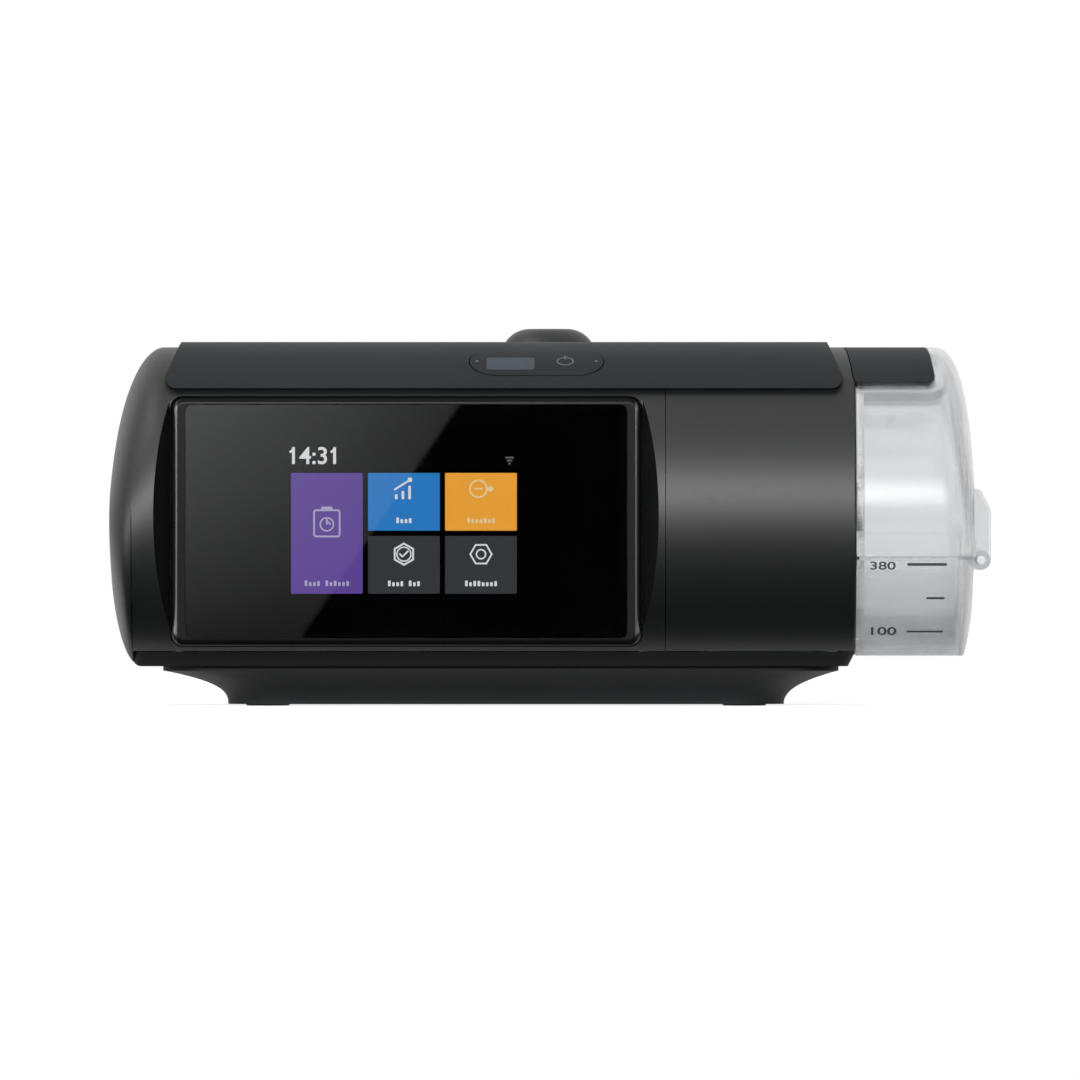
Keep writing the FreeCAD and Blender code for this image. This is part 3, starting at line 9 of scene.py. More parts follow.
import bpy
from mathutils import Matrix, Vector


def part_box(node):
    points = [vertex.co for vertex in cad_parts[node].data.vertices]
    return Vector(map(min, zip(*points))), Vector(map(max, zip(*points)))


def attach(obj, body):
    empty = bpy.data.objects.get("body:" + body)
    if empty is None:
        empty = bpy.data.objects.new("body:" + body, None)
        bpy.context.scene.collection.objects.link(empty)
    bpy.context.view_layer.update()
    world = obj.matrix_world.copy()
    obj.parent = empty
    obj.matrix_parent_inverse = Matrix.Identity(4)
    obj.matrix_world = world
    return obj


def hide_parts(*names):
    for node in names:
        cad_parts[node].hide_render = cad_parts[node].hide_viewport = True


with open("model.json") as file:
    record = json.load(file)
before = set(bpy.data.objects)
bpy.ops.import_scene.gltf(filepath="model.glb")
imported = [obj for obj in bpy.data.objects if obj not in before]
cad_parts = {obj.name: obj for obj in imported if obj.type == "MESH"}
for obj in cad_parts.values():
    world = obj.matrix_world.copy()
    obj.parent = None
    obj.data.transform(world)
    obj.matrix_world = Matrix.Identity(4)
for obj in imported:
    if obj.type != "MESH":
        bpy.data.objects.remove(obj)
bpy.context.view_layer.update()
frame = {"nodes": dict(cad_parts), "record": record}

bl_info = {
    "name": "Breathing machine looks",
    "version": (1, 0, 0),
    "blender": (4, 5, 0),
    "location": "View3D > Sidebar > Machine",
    "description": "Finishes, screen, marks and studio for the machine",
    "category": "Object",
}

MM = 0.001
FACE_FRONT = (math.radians(90), 0.0, 0.0)      # turns a flat shape's face towards -Y
SMOOTH_ANGLE = math.radians(30)
WHITE = (1.0, 1.0, 1.0, 1.0)

# Housing section, as the CAD model has it
BARREL_Y = -22.0 * MM
BARREL_Z = 57.5 * MM
RECESS_BACK_Y = -50.0 * MM                     # the display recess lies in front of this
RECESS_FLARE = 0.3                             # the recess's sides lean at least this far across
BEZEL_ROUND = 1.9 * MM                         # width of the bezel's rounded sides
BEZEL_FACING = -0.1                            # their normals point at least this far forwards

# Screen picture
PANEL_FRONT_Y = -57.7 * MM
INK_THICKNESS = 0.04 * MM
TILE_THICKNESS = 0.05 * MM
GLASS_GAP = 0.14 * MM
GLASS_CORNER = 2.0 * MM
PRINT_MARGIN = 0.1 * MM
PRINT_GAP = 0.02 * MM
BORDER_LAP = 0.6 * MM                          # how far the black border print covers the LCD's rim

# Camera
CAMERA_DISTANCE = 6.0
CAMERA_X = -3.47 * MM
CAMERA_Z = 49.9 * MM
SEEN_WIDTH = 325.6 * MM                        # at the barrel's axis
SENSOR = 36.0                                  # mm


def linear(code):
    """sRGB hex colour to the linear values that a shader takes."""
    channels = [int(code[i:i + 2], 16) / 255.0 for i in (1, 3, 5)]
    return tuple(c / 12.92 if c <= 0.04045 else ((c + 0.055) / 1.055) ** 2.4 for c in channels) + (1.0,)


# ---------------------------------------------------------------- values a user would change

class MachineFinish(bpy.types.PropertyGroup):
    """Colours and sizes of the machine's looks."""
    housing_colour: bpy.props.FloatVectorProperty(
        name="Housing", description="Moulded charcoal of the housing", subtype="COLOR", size=4,
        min=0.0, max=1.0, default=linear("#111213"))
    cover_colour: bpy.props.FloatVectorProperty(
        name="Cover plate", description="Cover plate, start key and latch pad", subtype="COLOR", size=4,
        min=0.0, max=1.0, default=linear("#1f2124"))
    tile_width: bpy.props.FloatProperty(
        name="Tile width", description="Width of a tile on the screen", unit="LENGTH", default=21.5 * MM)
    tile_gap: bpy.props.FloatProperty(
        name="Tile gap", description="Gap between the tiles", unit="LENGTH", default=1.6 * MM)
    tile_height: bpy.props.FloatProperty(
        name="Tile height", description="Height of a single tile", unit="LENGTH", default=17.3 * MM)


class MachineStudio(bpy.types.PropertyGroup):
    """Lights and floor of the studio."""
    key_radiance: bpy.props.FloatProperty(
        name="Key light", description="Brightness of the front softbox's face", default=24.0, min=0.0)
    top_radiance: bpy.props.FloatProperty(
        name="Top light", description="Brightness of the overhead softbox's face", default=3.3, min=0.0)
    side_radiance: bpy.props.FloatProperty(
        name="Side lights", description="Brightness of the left strip; the right one has half",
        default=15.0, min=0.0)
    fill: bpy.props.FloatProperty(
        name="Fill", description="Light from all round", default=0.2, min=0.0)
    floor_size: bpy.props.FloatProperty(
        name="Floor", description="Side of the square floor", unit="LENGTH", default=3.0)


def finish_values():
    """The colours and sizes in force."""
    return bpy.context.scene.machine_finish


def studio_values():
    """The studio's settings in force."""
    return bpy.context.scene.machine_studio


# ---------------------------------------------------------------- material helpers

MOST_OF_NOISE = {"From Min": 0.3, "From Max": 0.7}     # where most values of a noise pattern lie
FIRST, SECOND, BLEND = 6, 7, 2                 # a Mix node's colour sockets: two inputs and the output
WAVE_STEP = 0.314                              # how far apart a Wave node's bands lie at scale 1


def add_node(tree, kind, inputs=None, output=0, **settings):
    """Adds a shader node with its settings and links, and returns one of its outputs.

    Inputs are values, or sockets to link from, by name or number.
    """
    node = tree.nodes.new(kind)
    for name, value in settings.items():
        setattr(node, name, value)
    for name, value in (inputs or {}).items():
        if isinstance(value, bpy.types.NodeSocket):
            tree.links.new(value, node.inputs[name])
        else:
            node.inputs[name].default_value = value
    return node.outputs[output] if len(node.outputs) else None


def new_material(name):
    """An empty material, its tree and the piece's own coordinates in metres."""
    material = bpy.data.materials.new(name)
    material.use_nodes = True
    tree = material.node_tree
    tree.nodes.clear()
    return material, tree, add_node(tree, "ShaderNodeTexCoord", output="Object")


def with_surface(material, shader):
    """The material, now showing a shader."""
    add_node(material.node_tree, "ShaderNodeOutputMaterial", {"Surface": shader})
    return material


def lighter(colour, factor):
    """A colour made lighter or darker."""
    return tuple(min(1.0, c * factor) for c in colour[:3]) + (1.0,)


def mottled(tree, pattern, colour, dark, light):
    """A colour that a noise pattern makes darker and lighter by these factors."""
    share = add_node(tree, "ShaderNodeMapRange", {"Value": pattern, **MOST_OF_NOISE})
    return add_node(tree, "ShaderNodeMix", {
        "Factor": share, FIRST: lighter(colour, dark), SECOND: lighter(colour, light)},
        output=BLEND, data_type="RGBA")


# ---------------------------------------------------------------- materials

def moulded_plastic(name, colour, grain, rough, specular, depth=0.03 * MM):
    """Injection-moulded plastic from a spark-eroded tool: a fine even grain that breaks up the sheen."""
    material, tree, place = new_material(name)
    fine = add_node(tree, "ShaderNodeTexNoise", {"Vector": place, "Scale": 1 / grain, "Detail": 3.0})
    broad = add_node(tree, "ShaderNodeTexNoise", {"Vector": place, "Scale": 1 / (28 * MM), "Detail": 2.0})
    return with_surface(material, add_node(tree, "ShaderNodeBsdfPrincipled", {
        "Base Color": mottled(tree, broad, colour, 0.9, 1.12),
        "Roughness": add_node(tree, "ShaderNodeMapRange", {
            "Value": fine, "To Min": rough - 0.04, "To Max": rough + 0.05, **MOST_OF_NOISE}),
        "Specular IOR Level": specular,
        "Normal": add_node(tree, "ShaderNodeBump", {
            "Height": fine, "Distance": depth, "Strength": 0.35}),
    }))


def clear_plastic(name, colour, rough, painted_shade_below=None):
    """Moulded polycarbonate: the thin walls bend half the light and let half straight through.

    The grey tint tones down the mirror images in its inner walls. The last argument paints shade: a
    darker second colour, which the first turns into from the upper to the lower of two heights.
    """
    material, tree, place = new_material(name)
    flow = add_node(tree, "ShaderNodeTexNoise", {"Vector": place, "Scale": 1 / (14 * MM), "Detail": 2.0})
    haze = add_node(tree, "ShaderNodeTexNoise", {"Vector": place, "Scale": 1 / (1.2 * MM), "Detail": 3.0})
    # Painted shade: the colour darkens from the upper height down to the lower one
    if painted_shade_below:
        second, lower, upper = painted_shade_below
        height = add_node(tree, "ShaderNodeSeparateXYZ", {"Vector": place}, output="Z")
        share = add_node(tree, "ShaderNodeMapRange", {
            "Value": height, "From Min": lower, "From Max": upper, "To Min": 1.0, "To Max": 0.0})
        base = add_node(tree, "ShaderNodeMix", {"Factor": share, FIRST: colour, SECOND: second},
                        output=BLEND, data_type="RGBA")
    else:
        base = mottled(tree, flow, colour, 1.0, 0.97)
    bent = add_node(tree, "ShaderNodeBsdfPrincipled", {
        "Base Color": base,
        "Roughness": add_node(tree, "ShaderNodeMapRange", {
            "Value": haze, "To Min": 0.8 * rough, "To Max": 1.3 * rough, **MOST_OF_NOISE}),
        "Transmission Weight": 1.0,
        "IOR": 1.58,
        "Specular Tint": linear("#acacac"),
        "Normal": add_node(tree, "ShaderNodeBump", {
            "Height": flow, "Distance": 0.05 * MM, "Strength": 0.2}),
    })
    root = add_node(tree, "ShaderNodeGamma", {"Color": base, "Gamma": 0.5})
    straight = add_node(tree, "ShaderNodeBsdfTransparent", {"Color": root})
    return with_surface(material, add_node(tree, "ShaderNodeMixShader", {"Fac": 0.5, 1: bent, 2: straight}))


def toughened_glass(name):
    """Chemically strengthened cover glass: clear and flat, so that it mirrors with sharp edges."""
    material, tree, place = new_material(name)
    haze = add_node(tree, "ShaderNodeTexNoise", {"Vector": place, "Scale": 1 / (9 * MM), "Detail": 4.0})
    return with_surface(material, add_node(tree, "ShaderNodeBsdfPrincipled", {
        "Base Color": linear("#f4f8f7"),
        "Roughness": add_node(tree, "ShaderNodeMapRange", {
            "Value": haze, "To Min": 0.0, "To Max": 0.006, **MOST_OF_NOISE}),
        "Transmission Weight": 1.0,
        "IOR": 1.5,
    }))


def black_lcd(name):
    """Switched-off LCD cell behind its polariser: almost black, with a fine cell structure."""
    material, tree, place = new_material(name)
    cells = add_node(tree, "ShaderNodeTexVoronoi", {"Vector": place, "Scale": 1 / (0.4 * MM)},
                     output="Distance")
    return with_surface(material, add_node(tree, "ShaderNodeBsdfPrincipled", {
        "Base Color": add_node(tree, "ShaderNodeMix", {
            "Factor": cells, FIRST: linear("#020203"), SECOND: linear("#050506")},
            output=BLEND, data_type="RGBA"),
        "Roughness": 0.6,
        "Specular IOR Level": 0.0,
    }))


def lit_pixels(name, colour, strength):
    """Lit LCD area: flat colour broken by the cell grid, drawn at 0.4 mm so that it shows up close."""
    material, tree, place = new_material(name)
    turned = add_node(tree, "ShaderNodeMapping", {"Vector": place, "Rotation": FACE_FRONT})
    grid = add_node(tree, "ShaderNodeTexBrick", {
        "Vector": turned, "Scale": 1.0, "Brick Width": 0.4 * MM, "Row Height": 0.4 * MM,
        "Mortar Size": 0.03 * MM, "Color1": colour, "Color2": lighter(colour, 0.96),
        "Mortar": lighter(colour, 0.8)}, output="Color", offset=0.0)
    return with_surface(material, add_node(tree, "ShaderNodeBsdfPrincipled", {
        "Base Color": linear("#020202"),
        "Roughness": 0.5,
        "Specular IOR Level": 0.0,
        "Emission Color": grid,
        "Emission Strength": strength,
    }))


def soft_rubber(name, colour, rough, grain=0.5 * MM, through=0.0):
    """Moulded elastomer: matt, slightly dusty, with a soft sheen."""
    material, tree, place = new_material(name)
    fine = add_node(tree, "ShaderNodeTexNoise", {"Vector": place, "Scale": 1 / grain, "Detail": 3.0})
    return with_surface(material, add_node(tree, "ShaderNodeBsdfPrincipled", {
        "Base Color": mottled(tree, fine, colour, 0.85, 1.15),
        "Roughness": add_node(tree, "ShaderNodeMapRange", {
            "Value": fine, "To Min": rough - 0.06, "To Max": rough + 0.06, **MOST_OF_NOISE}),
        "Specular IOR Level": 0.35,
        "Transmission Weight": through,
        "Normal": add_node(tree, "ShaderNodeBump", {
            "Height": fine, "Distance": 0.03 * MM, "Strength": 0.4}),
    }))


def worked_metal(name, colour, rough):
    """Drawn or brushed metal: fine scratches that run one way and stretch the highlight."""
    material, tree, place = new_material(name)
    stretched = add_node(tree, "ShaderNodeMapping", {"Vector": place, "Scale": (1.0, 30.0, 30.0)})
    lines = add_node(tree, "ShaderNodeTexNoise", {
        "Vector": stretched, "Scale": 1 / (6 * MM), "Detail": 4.0, "Roughness": 0.6})
    return with_surface(material, add_node(tree, "ShaderNodeBsdfPrincipled", {
        "Base Color": mottled(tree, lines, colour, 0.9, 1.08),
        "Metallic": 1.0,
        "Roughness": add_node(tree, "ShaderNodeMapRange", {
            "Value": lines, "To Min": rough - 0.06, "To Max": rough + 0.08, **MOST_OF_NOISE}),
        "Normal": add_node(tree, "ShaderNodeBump", {
            "Height": lines, "Distance": 0.01 * MM, "Strength": 0.3}),
    }))


def wound_copper(name):
    """Enamelled copper wire wound tight: rows of round turns, drawn 3.14 mm apart so that they show, each
    with a painted highlight on its crest and painted shade in the grooves.
    """
    material, tree, place = new_material(name)
    turns = add_node(tree, "ShaderNodeTexWave", {
        "Vector": place, "Scale": WAVE_STEP / (3.14 * MM), "Distortion": 0.4},
        output="Fac", wave_type="BANDS", bands_direction="Z")
    return with_surface(material, add_node(tree, "ShaderNodeBsdfPrincipled", {
        # Painted shade and highlight: each turn darkens towards the grooves and lightens on its crest
        "Base Color": add_node(tree, "ShaderNodeMix", {
            "Factor": turns, FIRST: linear("#7d3a1c"), SECOND: linear("#c8763f")},
            output=BLEND, data_type="RGBA"),
        "Metallic": 1.0,
        "Roughness": 0.32,
        "Normal": add_node(tree, "ShaderNodeBump", {
            "Height": turns, "Distance": 0.2 * MM, "Strength": 0.8}),
    }))


def solder_mask(name):
    """Glass-epoxy board under green solder mask: paler copper runs show through it."""
    material, tree, place = new_material(name)
    runs = add_node(tree, "ShaderNodeTexBrick", {
        "Vector": place, "Scale": 1.0, "Brick Width": 9 * MM, "Row Height": 1.6 * MM,
        "Mortar Size": 0.25 * MM, "Color1": linear("#0f3d26"), "Color2": linear("#124a2e"),
        "Mortar": linear("#2c7a4c")}, output="Color", offset=0.5)
    edges = runs.node.outputs["Fac"]
    fine = add_node(tree, "ShaderNodeTexNoise", {"Vector": place, "Scale": 1 / (0.6 * MM), "Detail": 2.0})
    return with_surface(material, add_node(tree, "ShaderNodeBsdfPrincipled", {
        "Base Color": runs,
        "Roughness": add_node(tree, "ShaderNodeMapRange", {
            "Value": fine, "To Min": 0.25, "To Max": 0.4, **MOST_OF_NOISE}),
        "Normal": add_node(tree, "ShaderNodeBump", {
            "Height": edges, "Distance": 0.04 * MM, "Strength": 0.5}),
    }))


def open_cell_foam(name, pore, strut, cell):
    """Cut foam or felt: pale struts, with painted shade in the small pores between them."""
    material, tree, place = new_material(name)
    pores = add_node(tree, "ShaderNodeTexVoronoi", {"Vector": place, "Scale": 1 / cell}, output="Distance")
    return with_surface(material, add_node(tree, "ShaderNodeBsdfPrincipled", {
        # Painted shade: the pores take the darker colour
        "Base Color": add_node(tree, "ShaderNodeMix", {"Factor": pores, FIRST: pore, SECOND: strut},
                               output=BLEND, data_type="RGBA"),
        "Roughness": 0.92,
        "Sheen Weight": 0.25,
        "Specular IOR Level": 0.15,
        "Normal": add_node(tree, "ShaderNodeBump", {
            "Height": pores, "Distance": 0.4 * cell, "Strength": 0.8}),
    }))


def pad_printed_ink(name, colour, specular=0.3):
    """Pad-printed ink: matt, with slightly thin patches."""
    material, tree, place = new_material(name)
    thin = add_node(tree, "ShaderNodeTexNoise", {"Vector": place, "Scale": 1 / (0.8 * MM), "Detail": 3.0})
    return with_surface(material, add_node(tree, "ShaderNodeBsdfPrincipled", {
        "Base Color": mottled(tree, thin, colour, 1.0, 1.2),
        "Roughness": 0.6,
        "Specular IOR Level": specular,
    }))


MATERIALS = {}


def make_materials():
    """All the finishes, keyed by the record's slots for the CAD nodes and by name for the rest."""
    values = finish_values()
    housing = tuple(values.housing_colour)
    cover = tuple(values.cover_colour)
    frame_black = linear("#0c0d0e")
    MATERIALS.update({
        # Moulded ABS and nylon: a soft sheen on the housing, less on the cover and the foot, and a
        # gleam on the bezel's sides
        "charcoal_housing": moulded_plastic("charcoal_abs", housing, 0.5 * MM, 0.45, 0.45),
        # Painted shade: the display recess's sides take the housing's colour darkened and nearly without
        # sheen
        "painted_shade_recess": moulded_plastic("painted_shade_recess_abs", lighter(housing, 0.4), 0.5 * MM, 0.6, 0.04),
        "matt_base": moulded_plastic("matt_base_abs", lighter(housing, 1.1), 0.5 * MM, 0.6, 0.14),
        "cover_plastic": moulded_plastic("soft_touch_cover", cover, 0.35 * MM, 0.58, 0.14),
        "bezel_plastic": moulded_plastic("satin_black_abs", frame_black, 0.4 * MM, 0.3, 0.08, 0.005 * MM),
        "polished_edge": moulded_plastic("polished_edge_abs", frame_black, 0.4 * MM, 0.3, 0.9, 0.002 * MM),
        "white_polymer": moulded_plastic("white_nylon", linear("#d6d6d0"), 0.8 * MM, 0.45, 0.4),
        # Clear parts: sharp mirror images in the glass and blurred ones in the tank, whose tub has
        # painted shade that makes it greyer lower down
        "screen_glass": toughened_glass("toughened_cover_glass"),
        "clear_polycarbonate": clear_plastic("clear_polycarbonate", linear("#ebeced"), 0.12),
        "smoked_polycarbonate": clear_plastic(
            "smoked_polycarbonate", linear("#e6e7e8"), 0.16, (linear("#b9babc"), 14 * MM, 44 * MM)),
        # Elastomers: dusty black feet and mounts, milky seals
        "black_rubber": soft_rubber("black_rubber", linear("#141414"), 0.75),
        "clear_silicone": soft_rubber("clear_silicone", linear("#dfe2e2"), 0.4, 2 * MM, 0.6),
        # Metals: brushed screws, shaft and plates, ribbed copper turns with painted shade in their grooves
        "stainless_steel": worked_metal("stainless_steel", linear("#b9bbbc"), 0.3),
        "heater_aluminium": worked_metal("anodised_aluminium", linear("#c4c6c8"), 0.36),
        "copper_winding": wound_copper("wound_copper_wire"),
        # Boards, foam and felt: green with copper runs, and dull with painted shade in the pores
        "board_laminate": solder_mask("solder_mask_board"),
        "grey_foam": open_cell_foam("grey_acoustic_foam", linear("#1b1b1d"), linear("#4a4b4e"), 1.4 * MM),
        "filter_media": open_cell_foam("white_filter_felt", linear("#b9b9b2"), linear("#ecece6"), 0.9 * MM),
        # Screen: black where it is off, flat bright colours where it is lit
        "lcd_body": black_lcd("black_lcd_cell"),
        "screen_purple": lit_pixels("lit_purple", linear("#62489a"), 1.05),
        "screen_blue": lit_pixels("lit_blue", linear("#2f7dc8"), 1.05),
        "screen_orange": lit_pixels("lit_orange", linear("#f2a53c"), 1.08),
        "screen_grey": lit_pixels("lit_grey", linear("#3c3c41"), 1.0),
        "screen_white": lit_pixels("lit_white", linear("#e6e6ea"), 1.0),
        "screen_pale": lit_pixels("lit_pale", linear("#b4a9cc"), 1.0),
        "screen_cream": lit_pixels("lit_cream", linear("#fbd9a4"), 0.95),
        "screen_dim": lit_pixels("lit_dim", linear("#6a6a6e"), 1.0),
        # Inks: matt marks, and a border that mirrors nothing behind the glass
        "key_window": pad_printed_ink("smoked_light_window", linear("#353c42")),
        "level_ink": pad_printed_ink("grey_level_ink", linear("#3a3b3f")),
        "border_ink": pad_printed_ink("black_border_ink", linear("#050506"), 0.0),
        "key_ink": pad_printed_ink("pale_key_ink", linear("#565c64")),
    })


# ---------------------------------------------------------------- modelling helpers

def start_clean():
    """Object mode with nothing selected, so that the next operator acts on its own piece only."""
    if bpy.context.object and bpy.context.object.mode != "OBJECT":
        bpy.ops.object.mode_set(mode="OBJECT")
    bpy.ops.object.select_all(action="DESELECT")


def make_active(piece):
    """Selects one piece alone, so that operators act on it."""
    start_clean()
    piece.select_set(True)
    bpy.context.view_layer.objects.active = piece


def apply_modifier(piece, kind, **settings):
    """Adds a modifier and applies it."""
    modifier = piece.modifiers.new(kind.title(), kind)
    for name, value in settings.items():
        setattr(modifier, name, value)
    make_active(piece)
    bpy.ops.object.modifier_apply(modifier=modifier.name)


def place_in_mesh(piece):
    """Moves a piece's place, turn and scale into its mesh."""
    make_active(piece)
    bpy.ops.object.transform_apply(location=True, rotation=True, scale=True)


def joined(pieces):
    """One object from several, with their places in its mesh."""
    for piece in pieces:
        place_in_mesh(piece)
    start_clean()
    for piece in pieces:
        piece.select_set(True)
    bpy.context.view_layer.objects.active = pieces[0]
    bpy.ops.object.join()
    return bpy.context.object


def hand_over(piece, name, body, finish, stands_for=()):
    """Names a finished piece, gives it its finish and lets it ride on its body."""
    place_in_mesh(piece)
    bpy.ops.object.shade_smooth_by_angle(angle=SMOOTH_ANGLE)
    apply_modifier(piece, "WEIGHTED_NORMAL", keep_sharp=True, weight=100)
    piece.name = name
    piece.data.name = name
    piece.data.materials.clear()
    piece.data.materials.append(MATERIALS[finish])
    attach(piece, body)
    if stands_for:
        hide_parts(*stands_for)


def facing_front(x, y, z, turn=0.0):
    """Place and turn of a flat shape that faces -Y."""
    return {"location": (x, y, z), "rotation": (FACE_FRONT[0], turn, 0.0)}


def raised(piece, thickness):
    """Gives a flat shape its thickness, outwards."""
    apply_modifier(piece, "SOLIDIFY", thickness=thickness, offset=1.0)
    return piece


def flat_tile(width, height, corner, stand):
    """A flat plate with round corners, standing as told."""
    start_clean()
    bpy.ops.mesh.primitive_plane_add(size=1.0, **stand)
    tile = bpy.context.object
    tile.scale = (width, height, 1.0)
    bpy.ops.object.transform_apply(location=False, rotation=False, scale=True)
    bpy.ops.object.mode_set(mode="EDIT")
    bpy.ops.mesh.select_all(action="SELECT")
    bpy.ops.mesh.bevel(offset=corner, segments=5, affect="VERTICES")
    bpy.ops.object.mode_set(mode="OBJECT")
    return tile


def flat_ring(sides, radius, line, stand):
    """A flat outlined polygon or circle."""
    start_clean()
    bpy.ops.mesh.primitive_circle_add(vertices=sides, radius=radius, fill_type="NGON", **stand)
    ring = bpy.context.object
    bpy.ops.object.mode_set(mode="EDIT")
    bpy.ops.mesh.select_all(action="SELECT")
    bpy.ops.mesh.inset(thickness=line)
    bpy.ops.mesh.delete(type="FACE")
    bpy.ops.object.mode_set(mode="OBJECT")
    return ring


def flat_frame(width, height, corner, line, stand):
    """A flat outlined box with round corners."""
    frame_piece = flat_tile(width, height, corner, stand)
    bpy.ops.object.mode_set(mode="EDIT")
    bpy.ops.mesh.select_all(action="SELECT")
    bpy.ops.mesh.inset(thickness=line)
    bpy.ops.mesh.delete(type="FACE")
    bpy.ops.object.mode_set(mode="OBJECT")
    return frame_piece


STROKE_GAIN = 0.012                            # share of the size by which the digits' strokes grow
CLOSE_POINTS = 0.008                           # share of the size below which two corners become one


def flat_digits(words, size, stand):
    """Digits as a flat mesh."""
    start_clean()
    bpy.ops.object.text_add(**stand)
    text = bpy.context.object
    text.data.body = words
    text.data.size = size
    text.data.align_x = "CENTER"
    text.data.align_y = "CENTER"
    text.data.offset = size * STROKE_GAIN
    bpy.ops.object.convert(target="MESH")
    bpy.ops.object.mode_set(mode="EDIT")
    bpy.ops.mesh.select_all(action="SELECT")
    bpy.ops.mesh.remove_doubles(threshold=size * CLOSE_POINTS)
    bpy.ops.mesh.delete_loose(use_verts=True, use_edges=True, use_faces=False)
    bpy.ops.object.mode_set(mode="OBJECT")
    return bpy.context.object


MARK_LIFT = 0.01 * MM                          # how far marks lie off the surface that carries them
MARK_THICKNESS = 0.05 * MM
NOT_MOVED = 0.001 * MM


def laid_on(piece, node, cuts, lift=MARK_LIFT):
    """Cuts a flat shape finer and lays it on a curved CAD node, along the shape's own axis."""
    make_active(piece)
    bpy.ops.object.mode_set(mode="EDIT")
    bpy.ops.mesh.select_all(action="SELECT")
    bpy.ops.mesh.quads_convert_to_tris()
    bpy.ops.mesh.subdivide(number_cuts=cuts)
    bpy.ops.object.mode_set(mode="OBJECT")
    apply_modifier(piece, "SHRINKWRAP", target=frame["nodes"][node], wrap_method="PROJECT",
                   use_project_z=True, use_negative_direction=True, use_positive_direction=False,
                   offset=lift)
    if any(abs(corner.co.z) < NOT_MOVED for corner in piece.data.vertices):
        raise RuntimeError("A flat shape reaches past the edge of " + node)
    return piece


# ---------------------------------------------------------------- finishes

def second_finish(name, finish, belongs):
    """Gives some faces of a CAD node another finish; belongs judges a face by its middle and normal."""
    mesh = frame["nodes"][name].data
    mesh.materials.append(MATERIALS[finish])
    faces = [face for face in mesh.polygons if belongs(face.center, face.normal)]
    if not faces:
        raise RuntimeError("No face of " + name + " takes " + finish)
    for face in faces:
        face.material_index = 1


class MACHINE_OT_finishes(bpy.types.Operator):
    """Gives every CAD node its moulded, metal, glass or foam finish, and paints shade on the display
    recess's sides.
    """
    bl_idname = "machine.finishes"
    bl_label = "Finishes"

    def execute(self, context):
        make_materials()
        slots = {row["node"]: row["material_slot"] for row in frame["record"]["subparts"]}
        slots.update(bottom_tray="matt_base", pedestal_base="matt_base")
        for name, node in frame["nodes"].items():
            node.data.materials.clear()
            node.data.materials.append(MATERIALS[slots[name]])
        low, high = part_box("display_bezel")
        middle, reach = (low.x + high.x) / 2, (high.x - low.x) / 2

        def recess_side(place, normal):
            """Flared sides of the display recess, which look towards its middle and get painted shade."""
            return (place.y < RECESS_BACK_Y and abs(normal.x) > RECESS_FLARE
                    and (place.x - middle) * normal.x < 0)

        def bezel_side(place, normal):
            """Rounded sides of the bezel, which look away from its middle."""
            return (abs(place.x - middle) > reach - BEZEL_ROUND and normal.y < BEZEL_FACING
                    and (place.x - middle) * normal.x > 0)

        # Painted shade on the display recess's flared sides
        second_finish("main_shell", "painted_shade_recess", recess_side)
        second_finish("display_bezel", "polished_edge", bezel_side)
        return {"FINISHED"}


# ---------------------------------------------------------------- screen

class MACHINE_OT_cover_glass(bpy.types.Operator):
    """Screen's cover glass with round corners."""
    bl_idname = "machine.cover_glass"
    bl_label = "Cover glass"

    def execute(self, context):
        low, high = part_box("display_glass")
        back = high.y - GLASS_GAP
        stand = facing_front((low.x + high.x) / 2, back, (low.z + high.z) / 2)
        glass = raised(flat_tile(high.x - low.x, high.z - low.z, GLASS_CORNER, stand), back - low.y)
        hand_over(glass, "cover_glass", "root", "screen_glass", ["display_glass"])
        return {"FINISHED"}


class MACHINE_OT_border_print(bpy.types.Operator):
    """Black print behind the glass, from its edge to the rim of the LCD."""
    bl_idname = "machine.border_print"
    bl_label = "Border print"

    def execute(self, context):
        low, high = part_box("display_glass")
        panel_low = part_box("display_panel")[0]
        line = panel_low.x - low.x + BORDER_LAP
        width = high.x - low.x - 2 * PRINT_MARGIN
        height = high.z - low.z - 2 * PRINT_MARGIN
        behind = high.y - GLASS_GAP + PRINT_GAP + INK_THICKNESS
        stand = facing_front((low.x + high.x) / 2, behind, (low.z + high.z) / 2)
        border = flat_frame(width, height, GLASS_CORNER, line, stand)
        hand_over(raised(border, INK_THICKNESS), "glass_border_print", "root", "border_ink")
        return {"FINISHED"}


SCREEN_LEFT = -78.1 * MM                       # lower left corner of the tiles
SCREEN_BOTTOM = 33.8 * MM
TILE_CORNER = 0.3 * MM
SCREEN_TILES = (
    # name, finish, column, row, rows that it spans
    ("tile_report", "screen_purple", 0, 0, 2),
    ("tile_ramp", "screen_blue", 1, 1, 1),
    ("tile_comfort", "screen_orange", 2, 1, 1),
    ("tile_fit", "screen_grey", 1, 0, 1),
    ("tile_settings", "screen_grey", 2, 0, 1),
)


def tile_height(rows):
    """Height of a menu tile that spans this many rows."""
    values = finish_values()
    return values.tile_height * rows + values.tile_gap * (rows - 1)


def tile_middle(column, row, rows):
    """Middle of a menu tile in X and Z."""
    values = finish_values()
    x = SCREEN_LEFT + column * (values.tile_width + values.tile_gap) + values.tile_width / 2
    z = SCREEN_BOTTOM + row * (values.tile_height + values.tile_gap) + tile_height(rows) / 2
    return x, z


